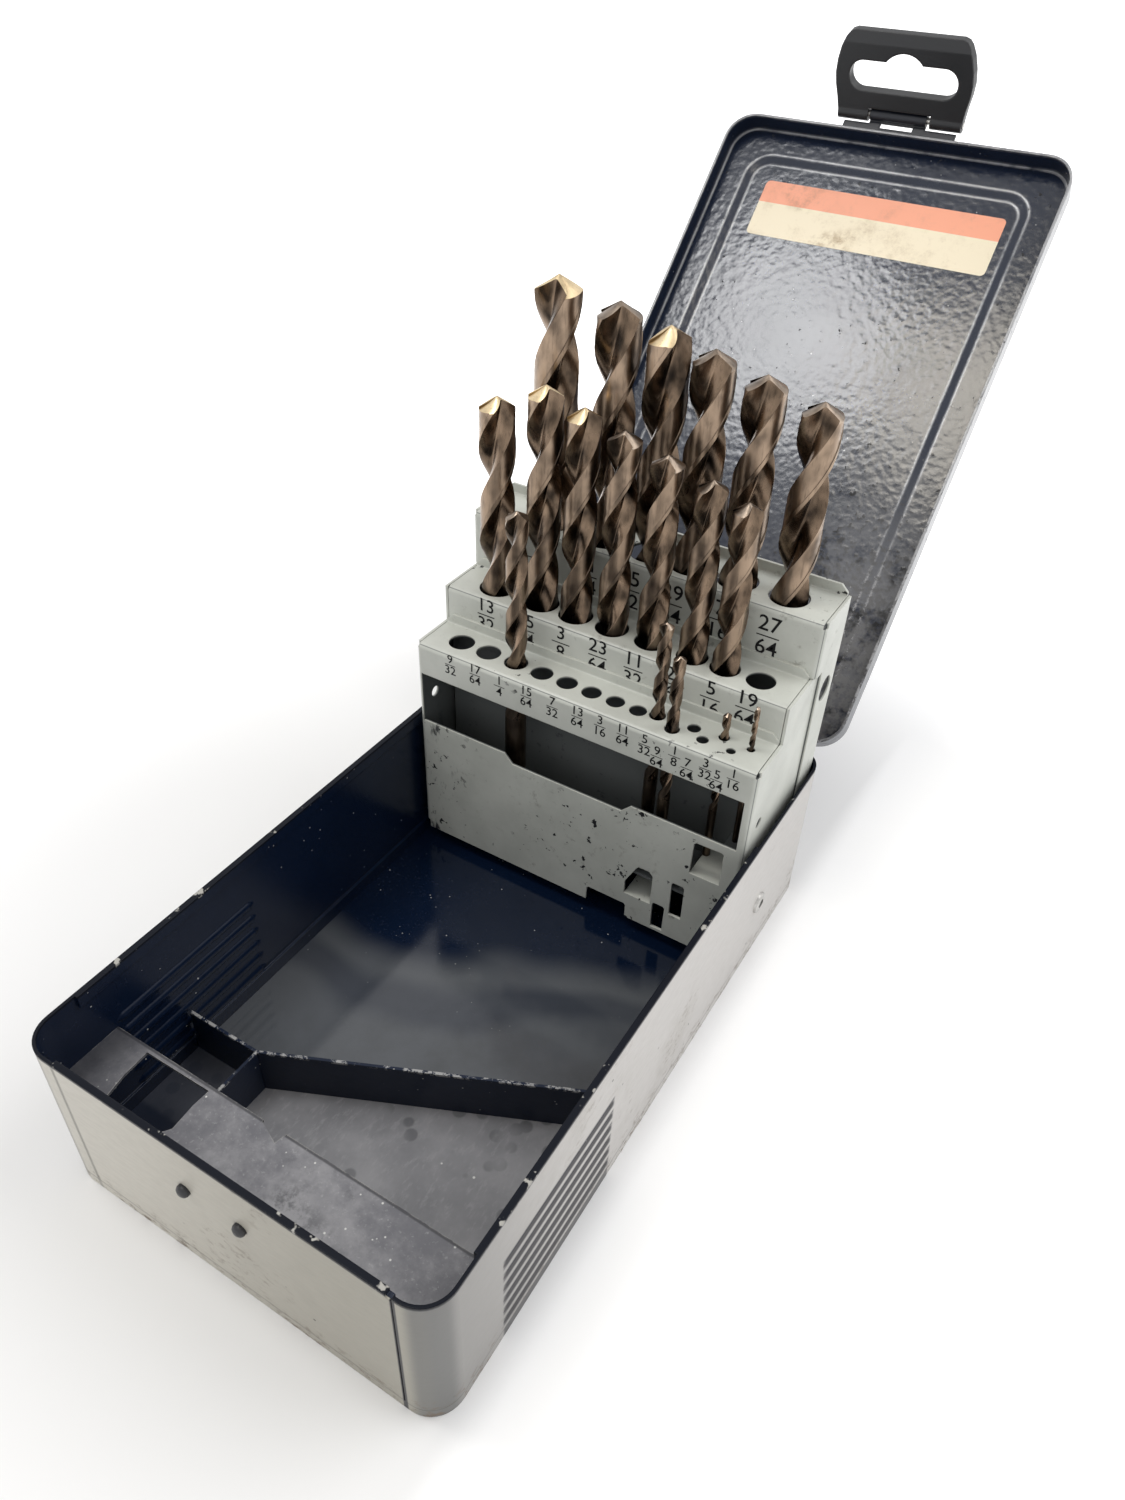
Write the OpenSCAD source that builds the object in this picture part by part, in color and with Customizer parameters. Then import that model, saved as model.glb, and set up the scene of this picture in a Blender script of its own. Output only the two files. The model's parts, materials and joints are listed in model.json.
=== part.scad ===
// Drill bit case: a sheet metal tray with a hinged lid, a swing-up rack for 29 twist drills
// and a plastic hanging hook that folds over the tray's front wall.
// Frame: origin in the middle of the tray's underside, X right along the front wall,
// Y from the front wall to the lid hinge, Z up. Millimetres.
// Shown as photographed: lid open, rack standing, hook part folded, 18 drills in the rack.

/* [Tray] */
// outside width of the tray
tray_w = 116; // [112:0.5:124]
// outside length of the tray
tray_l = 198.2; // [196:0.1:206]
// height of the tray's rim
tray_h = 50.8; // [50:0.1:56]
// outside radius of the tray's upright corners
corner_r = 8.4; // [6:0.1:9]
// thickness of every steel sheet
sheet = 0.8; // [0.6:0.05:0.9]
// height of the bottom pan's upturned edge
pan_lap = 3.5; // [2.5:0.1:5]
// depth of the folded hem inside the rim
hem_drop = 4; // [2.5:0.1:5]
// distance from the rear wall at which the side walls' hem stops
hem_stop = 48; // [45:0.5:60]
// front wall seam on the left, measured in from the left wall
seam_left_in = 11.5; // [11:0.1:18]
// front wall seam on the right, measured in from the right wall
seam_right_in = 9.5; // [9:0.1:16]
// width of the open seam on the right
seam_gap = 0.35; // [0.2:0.05:0.8]

/* [Grip ribs] */
// number of pressed grip ribs on each side wall
rib_count = 6; // [3:1:6]
// height of the lowest rib's centre line
rib_first = 6.8; // [6:0.1:8]
// distance between rib centre lines
rib_pitch = 5.2; // [4.8:0.1:5.6]
// length of each rib
rib_len = 48; // [30:1:52]
// distance from the front wall to the ribs
rib_from_front = 23.1; // [21:0.1:30]
// how far a rib is pressed in
rib_depth = 0.6; // [0.3:0.05:0.7]

/* [Tray fittings] */
// height of the front shelf's top
shelf_top = 31; // [28:0.1:32]
// how far the front shelf reaches in from the front wall's outside
shelf_reach = 23.1; // [20:0.1:24]
// height of the tip stop strips
stop_top = 16.5; // [12:0.1:18]
// distance from the front wall's outside to the straight tip stop
stop_from_front = 42.7; // [40:0.1:46]
// where the tip stop bends, measured in from the left wall
stop_bend_in = 25.8; // [22:0.1:30]
// rise of the slanted tip stop for each millimetre across
stop_slope = 0.463; // [0.3:0.005:0.5]
// sideways place of the two latch studs and of the hook
latch_x = -1.1; // [-4:0.1:4]
// distance between the latch studs
stud_span = 16.4; // [12:0.1:20]
// height of the latch studs
stud_z = 34.5; // [34:0.1:35]
// diameter of the latch studs
stud_d = 3.4; // [2.5:0.1:3.6]
// how far the latch studs stand out
stud_out = 1.7; // [0.8:0.1:1.8]

/* [Lid] */
// gap between the tray's wall and the lid's skirt
lid_gap = 0.35; // [0.3:0.05:0.5]
// how far the lid's skirt hangs over the tray's rim
lid_over = 1.2; // [0.8:0.1:1.4]
// inside height of the lid above its skirt edge
lid_depth = 6.6; // [6.4:0.1:9]
// distance from the lid's edge to its raised middle
bead_margin = 9.7; // [8:0.1:12]
// how far the lid's middle is pressed out
bead_rise = 0.9; // [0.5:0.05:1.2]
// width of the slope up to the lid's pressed middle
bead_slope = 3.2; // [1:0.1:3.3]
// width of the hook tab on the lid's front edge
tab_w = 38.2; // [34:0.1:40]
// angle the lid is opened from shut
lid_open = 135; // [100:1:150]

/* [Lid hinge] */
// hinge line, measured out from the tray's rear wall
hinge_out = 3.3; // [3.1:0.1:4]
// hinge line, measured down from the tray's rim
hinge_down = 2.2; // [1.9:0.1:2.6]
// radius of the hinge knuckles
knuckle_r = 1.7; // [1.5:0.05:1.8]
// radius of the hinge pin
hinge_pin_r = 0.95; // [0.7:0.05:1]
// length of the hinge
hinge_len = 80; // [60:5:90]
// number of knuckles
knuckles = 5; // [3:2:7]
// gap between neighbouring knuckles
knuckle_gap = 0.3; // [0.2:0.05:0.5]
// radial play between a pin and its bore
pin_play = 0.05; // [0.03:0.01:0.08]

/* [Hook] */
// hook pin, measured out from the tray's front wall
hook_pin_out = 5.9; // [5.7:0.1:6.5]
// hook pin, measured down from the tray's rim
hook_pin_down = 2.3; // [2.2:0.1:2.6]
// radius of the hook's barrels
barrel_r = 2.3; // [2.1:0.05:2.4]
// radius of the hook pin
hook_pin_r = 1.05; // [0.8:0.05:1.1]
// width of the hook over its barrels
hook_w = 41.8; // [40:0.1:44]
// how far the hook reaches from its pin
hook_h = 25.3; // [24.5:0.1:25.5]
// thickness of the hook's plate
hook_t = 3.6; // [3:0.1:3.8]
// width of the hanging slot
slot_w = 36; // [34:0.1:37]
// height of the hanging slot
slot_h = 9.3; // [8:0.1:9.6]
// distance from the pin to the slot's centre line
slot_from_pin = 12.3; // [12.2:0.1:12.8]
// radius of the slot's round peg bay
bay_r = 7.6; // [6:0.1:8]
// angle between the hook and the lid as shown
hook_fold = 62; // [0:1:90]

/* [Rack] */
// room between the rack's front bracket and the tray's wall on each side
rack_room = 2.1; // [2:0.05:3]
// outside radius of the rack's folds
fold_r = 1.6; // [1:0.1:2]
// pivot rivets, measured in from the tray's rear wall
pivot_in = 39.9; // [39:0.1:41]
// height of the pivot rivets
pivot_z = 22.3; // [22:0.1:23]
// radius of the pivot rivet's shank
pivot_r = 2.05; // [1.8:0.05:2.2]
// distance from the pivot forward to the rack's front face
face_to_pivot = 12.3; // [11:0.1:12.5]
// front to back depth of the front step
step1_d = 15.4; // [14.5:0.1:16]
// front to back depth of the middle step
step2_d = 15.9; // [15:0.1:16.5]
// front to back depth of the back step
step3_d = 18; // [17:0.1:18.4]
// height of the front step's top
step1_z = 78.5; // [76:0.1:80]
// height of the middle step's top
step2_z = 90.3; // [88:0.1:92]
// height of the back step's top
step3_z = 107.8; // [105:0.1:109]
// height of the small upturned lips behind the steps
lip_h = 3; // [1:0.1:3.5]
// top of the plate the shanks stand on
floor_top = 25.2; // [24.8:0.1:25.4]
// top of the raised ledge under the small drills
ledge_top = 29.2; // [28:0.1:32]
// top of the folded window in the front panel
window_top = 68; // [60:0.1:70]
// bottom of the window in the front panel
window_bottom = 50.3; // [48:0.1:56]
// depth of the dip in the window's lower edge
window_dip = 3.1; // [2:0.1:6]

/* [Drills] */
// front row sizes in sixty-fourths of an inch, left to right
front_sizes = [18, 17, 16, 15, 14, 13, 12, 11, 10, 9, 8, 7, 6, 5, 4]; // 4 to 20 each
// front row hole places from the middle, for the rack's drawn width
front_x = [-43.9, -34.3, -24.8, -15.8, -7.4, 0.7, 8.4, 15.6, 21.1, 27.2, 32, 36.1, 40.6, 44.5, 48.7]; // -50 to 50
// front row hole places behind the front face
front_y = [7.7, 7.7, 7.8, 7.6, 7.6, 7.5, 7.5, 7.4, 8.4, 5.2, 8.9, 5.7, 9.7, 5.5, 9]; // 5 to 11 each
// middle row sizes in sixty-fourths of an inch
middle_sizes = [26, 25, 24, 23, 22, 21, 20, 19]; // 16 to 28 each
// middle row hole places from the middle, for the rack's drawn width
middle_x = [-41.5, -26.2, -14.5, -2.5, 10, 22.9, 32.9, 43.5]; // -46 to 46 each
// back row sizes in sixty-fourths of an inch
back_sizes = [32, 31, 30, 29, 28, 27]; // 24 to 34 each
// back row hole places from the middle, for the rack's drawn width
back_x = [-33.1, -14.8, -0.2, 12.5, 26.8, 42]; // -46 to 46 each
// middle row line behind the middle step's front edge
middle_line = 7.9; // [7.6:0.1:8.2]
// back row line behind the back step's front edge
back_line = 8.2; // [8:0.1:8.6]
// radial play of a drill in its hole
drill_play = 0.35; // [0.25:0.05:0.5]
// length of the reground 13/32 drill
reground_13_32 = 123.7; // [110:0.1:133]
// length of the reground 3/32 drill
reground_3_32 = 51.8; // [45:0.1:57]
// point angle of the drills
point_angle = 118; // [100:1:140]

/* [Hidden] */
$fn = 64;
half_w = tray_w / 2;
half_l = tray_l / 2;
in_w = half_w - sheet;
in_l = half_l - sheet;
seam_left = half_w - seam_left_in;
seam_right = half_w - seam_right_in;
stop_bend = half_w - stop_bend_in;
lid_half_w = half_w + lid_gap + sheet;
lid_half_l = half_l + lid_gap + sheet;
lid_r = corner_r + lid_gap + sheet;
lid_z0 = tray_h - lid_over;
lid_z1 = lid_z0 + lid_depth + sheet;
hinge_y = half_l + hinge_out;
hinge_z = tray_h - hinge_down;
hook_y = -half_l - hook_pin_out;
hook_z = tray_h - hook_pin_down;
curl_r = 1.9;
tab_z1 = hook_z + curl_r;
tab_y = hook_y + barrel_r + 0.3;
barrel_len = 10.3;
curl_w = 19;
curl_x = latch_x - 0.3;
pivot_y = half_l - pivot_in;
face_y = pivot_y - face_to_pivot;
y1 = face_y + step1_d;
y2 = y1 + step2_d;
y3 = y2 + step3_d;
flange_y = y2 + 4.8;
mid_y = y1 + middle_line;
back_y = y2 + back_line;
rack_half = in_w - rack_room;
drawn_half = 55.1;
// how much wider the rack is than drawn, for all that is placed across it
spread = rack_half / drawn_half;
flange_in = rack_half - sheet;
step_half = flange_in - 0.2;
bottom_z = 5.2;
rivet_in = flange_in - 0.4;
rest_1_16 = 45;
rest_3_32 = 35;
tab1_top = 15.4;
inch = 25.4;
sixty_fourth = inch / 64;
shelf_y = -half_l + shelf_reach;
stop_y = -half_l + stop_from_front;
// the tip stop ends clear of the walls' inner lap
stop_half = in_w - sheet - 0.3;

// Colours as photographed
module tray_paint() {
    color([0.74, 0.71, 0.66]) children();
}
module dark_paint() {
    color([0.07, 0.08, 0.11]) children();
}
module rack_paint() {
    color([0.72, 0.73, 0.66]) children();
}
module bare_steel() {
    color([0.62, 0.62, 0.6]) children();
}
module drill_steel() {
    color([0.4, 0.32, 0.22]) children();
}

// Flat box with rounded upright edges, standing on Z = 0
module round_box(w, l, h, r) {
    translate([-w / 2 + r, -l / 2, 0]) cube([w - 2 * r, l, h]);
    translate([-w / 2, -l / 2 + r, 0]) cube([w, l - 2 * r, h]);
    for (x = [-1, 1], y = [-1, 1])
        translate([x * (w / 2 - r), y * (l / 2 - r), 0]) cylinder(h = h, r = r);
}

// The same box with sides that lean in by run over its height
module round_taper(w, l, h, r, run) {
    for (turn = [0, 90]) {
        across = turn == 0 ? w : l;
        along = turn == 0 ? l - 2 * r : w - 2 * r;
        rotate([0, 0, turn]) translate([0, along / 2, 0]) rotate([90, 0, 0])
            linear_extrude(height = along)
                polygon([[-across / 2, 0], [across / 2, 0], [across / 2 - run, h], [-across / 2 + run, h]]);
    }
    for (x = [-1, 1], y = [-1, 1])
        translate([x * (w / 2 - r), y * (l / 2 - r), 0]) cylinder(h = h, r1 = r, r2 = r - run);
}

// Ring of sheet that follows the tray's outline, set in by inset
module wall_ring(inset, z0, z1) {
    difference() {
        translate([0, 0, z0])
            round_box(tray_w - 2 * inset, tray_l - 2 * inset, z1 - z0, corner_r - inset);
        translate([0, 0, z0 - 1])
            round_box(tray_w - 2 * inset - 2 * sheet, tray_l - 2 * inset - 2 * sheet,
                z1 - z0 + 2, corner_r - inset - sheet);
    }
}

// Bar turned round the Y axis with short tapered ends, for the pressed ribs
module rib_bar(r, r_end) {
    translate([0, -half_l + rib_from_front, 0]) rotate([-90, 0, 0])
        rotate_extrude()
            polygon([[0, 0], [r_end, 0], [r, 2], [r, rib_len - 2], [r_end, rib_len], [0, rib_len]]);
}

// Centre distance of a rib's arc outside the wall, so the groove is rib_depth deep
rib_r = 1.5;
rib_off = rib_r - rib_depth;

module rib_ridges(side) {
    for (i = [0 : rib_count - 1])
        intersection() {
            translate([side * (half_w + rib_off), 0, rib_first + i * rib_pitch])
                rib_bar(rib_r + sheet, rib_off + sheet);
            translate([side * (half_w - 2) - 2, -half_l, 0]) cube([4, tray_l, tray_h]);
        }
}

module rib_grooves(side) {
    for (i = [0 : rib_count - 1])
        translate([side * (half_w + rib_off), 0, rib_first + i * rib_pitch])
            rib_bar(rib_r, rib_off);
}

// Bottom pan with its low upturned edge outside the walls
module tray_bottom_pan() {
    tray_paint() difference() {
        round_box(tray_w, tray_l, pan_lap, corner_r);
        translate([0, 0, sheet])
            round_box(tray_w - 2 * sheet, tray_l - 2 * sheet, pan_lap, corner_r - sheet);
    }
}

// Left, rear and right walls in one bent strip that ends at the two front seams
module tray_wall_wrap() {
    tray_paint() difference() {
        union() {
            wall_ring(0, pan_lap, tray_h);
            wall_ring(sheet, sheet, pan_lap + 2);
            // hem along the straight walls; on the sides it stops short of the rear corners
            for (side = [-1, 1])
                translate([side * (in_w - sheet / 2) - sheet / 2, -half_l + 15.6, tray_h - hem_drop])
                    cube([sheet, tray_l - 15.6 - hem_stop, hem_drop]);
            translate([-half_w + corner_r, in_l - sheet, tray_h - hem_drop])
                cube([tray_w - 2 * corner_r, sheet, hem_drop]);
            for (side = [-1, 1]) rib_ridges(side);
            // tongues that lie behind the front panel at its seams
            translate([-half_w + corner_r, -in_l, pan_lap + 2.5])
                cube([half_w - corner_r - seam_left + 4.5, sheet, tray_h - hem_drop - pan_lap - 3]);
            translate([seam_right - 4.5, -in_l, pan_lap + 2.5])
                cube([half_w - corner_r - seam_right + 4.5, sheet, tray_h - hem_drop - pan_lap - 3]);
        }
        for (side = [-1, 1]) rib_grooves(side);
        // opening for the front panel
        translate([-seam_left, -half_l - 1, 0]) cube([seam_left + seam_right, 1 + sheet, tray_h + 1]);
        translate([-seam_left, -in_l - 0.1, 0]) cube([seam_left + seam_right, sheet + 0.2, pan_lap + 2.4]);
        // rivet holes
        translate([-half_w - 1, pivot_y, pivot_z]) rotate([0, 90, 0])
            cylinder(h = tray_w + 2, r = pivot_r + pin_play);
    }
}

// Front wall panel between the seams, with its own hem and lap
module tray_front_panel() {
    tray_paint() difference() {
        union() {
            translate([-seam_left + 0.1, -half_l, pan_lap])
                cube([seam_left + seam_right - 0.1 - seam_gap, sheet, tray_h - pan_lap]);
            translate([-seam_left + 0.1, -in_l, sheet])
                cube([seam_left + seam_right - 0.1 - seam_gap, sheet, pan_lap + 1.2]);
            translate([-seam_left + 0.1, -in_l, tray_h - hem_drop])
                cube([seam_left + seam_right - 0.1 - seam_gap, sheet, hem_drop]);
        }
        // small nick in the rim at the right seam
        translate([seam_right - 1.6, -half_l - 1, tray_h - 1.2]) cube([2, 3, 2]);
        for (s = [-1, 1])
            translate([latch_x + s * stud_span / 2, -half_l - 1, stud_z]) rotate([-90, 0, 0])
                cylinder(h = 4, r = stud_d / 4 + 0.05);
    }
}

// Two domed studs that the hook's slot clips over
module latch_studs() {
    color([0.08, 0.08, 0.09])
        for (s = [-1, 1])
            translate([latch_x + s * stud_span / 2, -half_l, stud_z]) rotate([90, 0, 0])
                rotate_extrude()
                    polygon([[0, -sheet - 0.5], [stud_d / 2 - 0.3, -sheet - 0.5],
                        [stud_d / 2 - 0.3, -sheet], [stud_d / 4, -sheet], [stud_d / 4, 0], [stud_d / 2, 0],
                        [stud_d / 2, stud_out * 0.45], [stud_d * 0.4, stud_out * 0.8],
                        [stud_d * 0.2, stud_out], [0, stud_out]]);
}

// Shelf across the front with one torn hole and a nick in its inner edge
module front_shelf() {
    color([0.36, 0.37, 0.42]) difference() {
        union() {
            intersection() {
                translate([0, 0, shelf_top - sheet])
                    round_box(tray_w - 2 * sheet, tray_l - 2 * sheet, sheet, corner_r - sheet);
                translate([-half_w, -in_l + sheet, 0]) cube([tray_w, shelf_reach - 2 * sheet, tray_h]);
            }
            for (side = [-1, 1])
                translate([side * (in_w - sheet / 2) - sheet / 2, -half_l + corner_r + 0.5, shelf_top - 7])
                    cube([sheet, shelf_reach - corner_r - 1.2, 7 - sheet / 2]);
        }
        translate([0, 0, shelf_top - 2]) linear_extrude(height = 4)
            polygon([[-45.4, shelf_y - 1.5], [-45.1, shelf_y - 9], [-44, shelf_y - 15.2],
                [-38, shelf_y - 16], [-33, shelf_y - 15.4], [-27, shelf_y - 16.1], [-24.7, shelf_y - 13],
                [-25.2, shelf_y - 6], [-24.9, shelf_y - 1.3]]);
        translate([0, 0, shelf_top - 2]) linear_extrude(height = 4)
            polygon([[-9.1, shelf_y + 1], [-8.6, shelf_y - 0.6], [-2.5, shelf_y - 3.1], [-1.5, shelf_y + 1]]);
    }
}

// Strip of sheet on edge from p to q
module strip(p, q, z0, z1) {
    translate([p[0], p[1], z0]) rotate([0, 0, atan2(q[1] - p[1], q[0] - p[0])])
        translate([0, -sheet / 2, 0]) cube([norm(q - p), sheet, z1 - z0]);
}

// Bent strip on the tray's floor that the drill points lie against
module tip_stop_strip() {
    bend = [-stop_bend, stop_y];
    dark_paint() {
        strip([-stop_half, stop_y], bend, sheet, stop_top);
        translate([bend[0], bend[1], sheet]) cylinder(h = stop_top - sheet, r = sheet / 2, $fn = 32);
        strip(bend, [stop_half, stop_y + stop_slope * (stop_half + stop_bend)], sheet, stop_top);
    }
}

// Cross wall from the bend of the tip stop to the front wall, under the shelf
module cross_divider() {
    dark_paint() translate([-stop_bend - sheet / 2, -in_l + sheet, sheet])
        cube([sheet, stop_from_front - sheet * 2.5, stop_top - sheet]);
}

// One knuckle of the lid hinge, with the bent neck that joins it to its leaf
module knuckle(i, neck) {
    pitch = hinge_len / knuckles;
    x0 = -hinge_len / 2 + i * pitch + knuckle_gap / 2;
    translate([x0, 0, 0]) difference() {
        union() {
            translate([0, hinge_y, hinge_z]) rotate([0, 90, 0])
                cylinder(h = pitch - knuckle_gap, r = knuckle_r);
            rotate([90, 0, 90]) linear_extrude(height = pitch - knuckle_gap) polygon(neck);
        }
        translate([-1, hinge_y, hinge_z]) rotate([0, 90, 0])
            cylinder(h = pitch + 2, r = hinge_pin_r + pin_play);
    }
}

module tray_hinge_leaf() {
    neck = [[half_l, hinge_z - 4], [half_l + sheet, hinge_z - 4],
        [hinge_y + 0.3, hinge_z - knuckle_r + 0.06],
        [hinge_y - knuckle_r * 0.72, hinge_z - knuckle_r * 0.66], [half_l, hinge_z - 3]];
    tray_paint() {
        translate([-hinge_len / 2, half_l, hinge_z - 14.6]) cube([hinge_len, sheet, 11]);
        for (i = [0 : 2 : knuckles - 1]) knuckle(i, neck);
    }
}

module lid_hinge_pin() {
    bare_steel() translate([-hinge_len / 2 - 0.5, hinge_y, hinge_z]) rotate([0, 90, 0]) {
        cylinder(h = hinge_len + 1, r = hinge_pin_r);
        cylinder(h = 0.5, r = hinge_pin_r + 0.5);
        translate([0, 0, hinge_len + 0.5]) cylinder(h = 0.5, r = hinge_pin_r + 0.5);
    }
}

// Tubular rivets that carry the rack in the tray's side walls
module rack_pivot_rivets() {
    bare_steel() for (side = [-1, 1])
        translate([0, pivot_y, pivot_z]) rotate([0, side * 90, 0])
            rotate_extrude()
                polygon([[pivot_r - 0.6, rivet_in - 1], [pivot_r + 1.1, rivet_in - 1], [pivot_r + 1.1, rivet_in],
                    [pivot_r, rivet_in], [pivot_r, half_w], [pivot_r + 1.35, half_w],
                    [pivot_r + 1.2, half_w + 0.7], [pivot_r + 0.4, half_w + 1], [pivot_r - 0.6, half_w + 1]]);
}

module rack_spacer_washers() {
    bare_steel() for (side = [-1, 1])
        translate([0, pivot_y, pivot_z]) rotate([0, side * 90, 0]) difference() {
            translate([0, 0, rack_half + 0.3]) cylinder(h = in_w - rack_half - 0.3, r = 4.5);
            cylinder(h = half_w, r = pivot_r + pin_play);
        }
}

// Everything on the lid is drawn shut and turned open about the hinge line
module on_lid() {
    translate([0, hinge_y, hinge_z]) rotate([-lid_open, 0, 0]) translate([0, -hinge_y, -hinge_z])
        children();
}

// Shallow pressed lid: skirt, flat border and a middle pressed out by bead_rise
module lid_pan() {
    w = 2 * lid_half_w;
    l = 2 * lid_half_l;
    on_lid() dark_paint() difference() {
        union() {
            translate([0, 0, lid_z0]) round_box(w, l, lid_z1 - lid_z0, lid_r);
            translate([0, 0, lid_z1])
                round_taper(w - 2 * bead_margin, l - 2 * bead_margin, bead_rise, lid_r - sheet, bead_slope);
        }
        translate([0, 0, lid_z0 - 1]) round_box(w - 2 * sheet, l - 2 * sheet, lid_depth + 1, lid_r - sheet);
        translate([0, 0, lid_z1 - sheet])
            round_taper(w - 2 * bead_margin, l - 2 * bead_margin, bead_rise, lid_r - sheet, bead_slope);
    }
}

module lid_hinge_leaf() {
    neck = [[lid_half_l, hinge_z + 4], [lid_half_l, hinge_z + 2.6],
        [hinge_y - knuckle_r * 0.72, hinge_z + knuckle_r * 0.66],
        [hinge_y + 0.3, hinge_z + knuckle_r - 0.06], [lid_half_l + sheet, hinge_z + 4]];
    on_lid() dark_paint() {
        translate([-hinge_len / 2, lid_half_l, hinge_z + 3]) cube([hinge_len, sheet, 4.6]);
        for (i = [1 : 2 : knuckles - 1]) knuckle(i, neck);
    }
}

// Tab on the lid's front edge, curled round the hook's pin
module lid_hook_tab() {
    on_lid() dark_paint() difference() {
        union() {
            translate([latch_x + 0.7 - tab_w / 2, tab_y, tab_z1 - sheet])
                cube([tab_w, -lid_half_l - tab_y, sheet]);
            translate([latch_x + 0.7 - tab_w / 2, -lid_half_l - sheet, tab_z1 - sheet])
                cube([tab_w, sheet, 6]);
            translate([curl_x - curl_w / 2, hook_y, tab_z1 - sheet])
                cube([curl_w, tab_y - hook_y + 1, sheet]);
            translate([curl_x - curl_w / 2, hook_y, hook_z]) rotate([0, 90, 0])
                cylinder(h = curl_w, r = curl_r);
        }
        translate([curl_x - curl_w / 2 - 1, hook_y, hook_z]) rotate([0, 90, 0])
            cylinder(h = curl_w + 2, r = hook_pin_r + pin_play);
        // small slot in the tab
        translate([curl_x - 5.5, hook_y + 2, tab_z1 - 2]) cube([11, 1.9, 3]);
    }
}

module hook_hinge_pin() {
    on_lid() bare_steel() translate([latch_x - hook_w / 2 - 0.3, hook_y, hook_z]) rotate([0, 90, 0])
        cylinder(h = hook_w + 0.6, r = hook_pin_r);
}

// Hook drawn flat in line with the lid, then folded by hook_fold
module hanger_hook() {
    hw = hook_w / 2;
    // right half of the outline: how far it stands out past the barrels, and how far along it is
    bulge = [[0, 0], [0.7, 5], [1.5, 9], [1.8, 12.5], [1.4, 16.5], [0.4, 20.5], [-0.9, 23.4], [-2, 24.7],
        [-3.6, hook_h]];
    outline = concat([for (p = bulge) [hw + p[0], p[1]]],
        [for (i = [len(bulge) - 1 : -1 : 0]) [-hw - bulge[i][0], bulge[i][1]]]);
    on_lid() translate([latch_x, hook_y, hook_z]) rotate([hook_fold, 0, 0])
        color([0.09, 0.09, 0.1]) difference() {
            union() {
                // the plate lies toward -Y with its inner face down
                translate([0, 0, -hook_t / 2]) mirror([0, 1, 0]) linear_extrude(height = hook_t)
                    polygon(outline);
                translate([-hw, 0, 0]) rotate([0, 90, 0]) cylinder(h = barrel_len, r = barrel_r);
                translate([hw - barrel_len, 0, 0]) rotate([0, 90, 0]) cylinder(h = barrel_len, r = barrel_r);
            }
            // room for the lid's curl between the barrels
            translate([-hw + barrel_len, -curl_r - 0.5, -5]) cube([hook_w - 2 * barrel_len, 10, 10]);
            translate([-hw - 1, 0, 0]) rotate([0, 90, 0])
                cylinder(h = hook_w + 2, r = hook_pin_r + pin_play);
            // hanging slot with its round peg bay on the far side
            translate([0, -slot_from_pin, -5]) {
                translate([-slot_w / 2 + slot_h / 2, 0, 0]) cylinder(h = 10, r = slot_h / 2);
                translate([slot_w / 2 - slot_h / 2, 0, 0]) cylinder(h = 10, r = slot_h / 2);
                translate([-slot_w / 2 + slot_h / 2, -slot_h / 2, 0]) cube([slot_w - slot_h, slot_h, 10]);
                intersection() {
                    cylinder(h = 10, r = bay_r);
                    translate([-bay_r, -bay_r - 1, 0]) cube([2 * bay_r, bay_r + 1, 10]);
                }
            }
            // lead-in chamfer on the inner face at the far end
            translate([-hw - 4, -hook_h + 3.4, -hook_t / 2]) rotate([90, 0, 90])
                linear_extrude(height = hook_w + 8)
                    polygon([[0, -1], [0, 0], [-3.4, 1.1], [-5, 1.6], [-5, -1]]);
        }
}

function size_mm(n) = n * sixty_fourth;

// Round holes for one row of drills
module drill_holes(sizes, xs, ys, z) {
    for (i = [0 : len(sizes) - 1])
        translate([xs[i] * spread, ys[i], z - 3])
            cylinder(h = 6, r = size_mm(sizes[i]) / 2 + drill_play, $fn = 48);
}

// Upright side plate of the rack, as an outline in Y and Z
module side_plate(x, outline) {
    translate([x, 0, 0]) rotate([90, 0, 90]) linear_extrude(height = sheet) polygon(outline);
}

// Points of an arc round c from angle a to b
function arc(c, r, a, b, n = 8) =
    [for (i = [0 : n]) let (t = a + (b - a) * i / n) c + r * [cos(t), sin(t)]];

// Step folded back from the top of an upright at y = a, with a low lip folded up at y = b
module folded_step(half, a, b, top) {
    lip_r = 0.5;
    lip_cut = 2.8;
    front = [a + fold_r, top - fold_r];
    back = [b - sheet - lip_r, top + lip_r];
    difference() {
        translate([-half, 0, 0]) rotate([90, 0, 90]) linear_extrude(height = 2 * half)
            polygon(concat(arc(front, fold_r, 180, 90), arc(back, lip_r, -90, 0),
                [[b - sheet, top + lip_h], [b, top + lip_h]],
                arc(back, lip_r + sheet, 0, -90), arc(front, fold_r - sheet, 90, 180)));
        // the lip's ends are cut at a slant
        for (side = [-1, 1])
            translate([side * half, b - sheet - 1, top + lip_h]) rotate([0, 45, 0])
                translate([-lip_cut / 2, 0, -lip_cut / 2]) cube([lip_cut, sheet + 2, lip_cut]);
    }
}

// Upright panel at y = a whose two ends are folded back into side plates
module folded_panel(half, a, z0, z1, z_fold) {
    translate([-half + fold_r, a, z0]) cube([2 * (half - fold_r), sheet, z1 - z0]);
    for (side = [-1, 1])
        translate([0, 0, z_fold]) linear_extrude(height = z1 - z_fold) {
            c = [side * (half - fold_r), a + fold_r];
            side_a = side < 0 ? 180 : 0;
            polygon(concat(arc(c, fold_r, side_a, 270 + (side > 0 ? -360 : 0)),
                arc(c, fold_r - sheet, 270 + (side > 0 ? -360 : 0), side_a)));
        }
}

// Outline across the rack, spread with its width
module panel_cut(outline) {
    polygon([for (p = outline) [p[0] * spread, p[1]]]);
}

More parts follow.
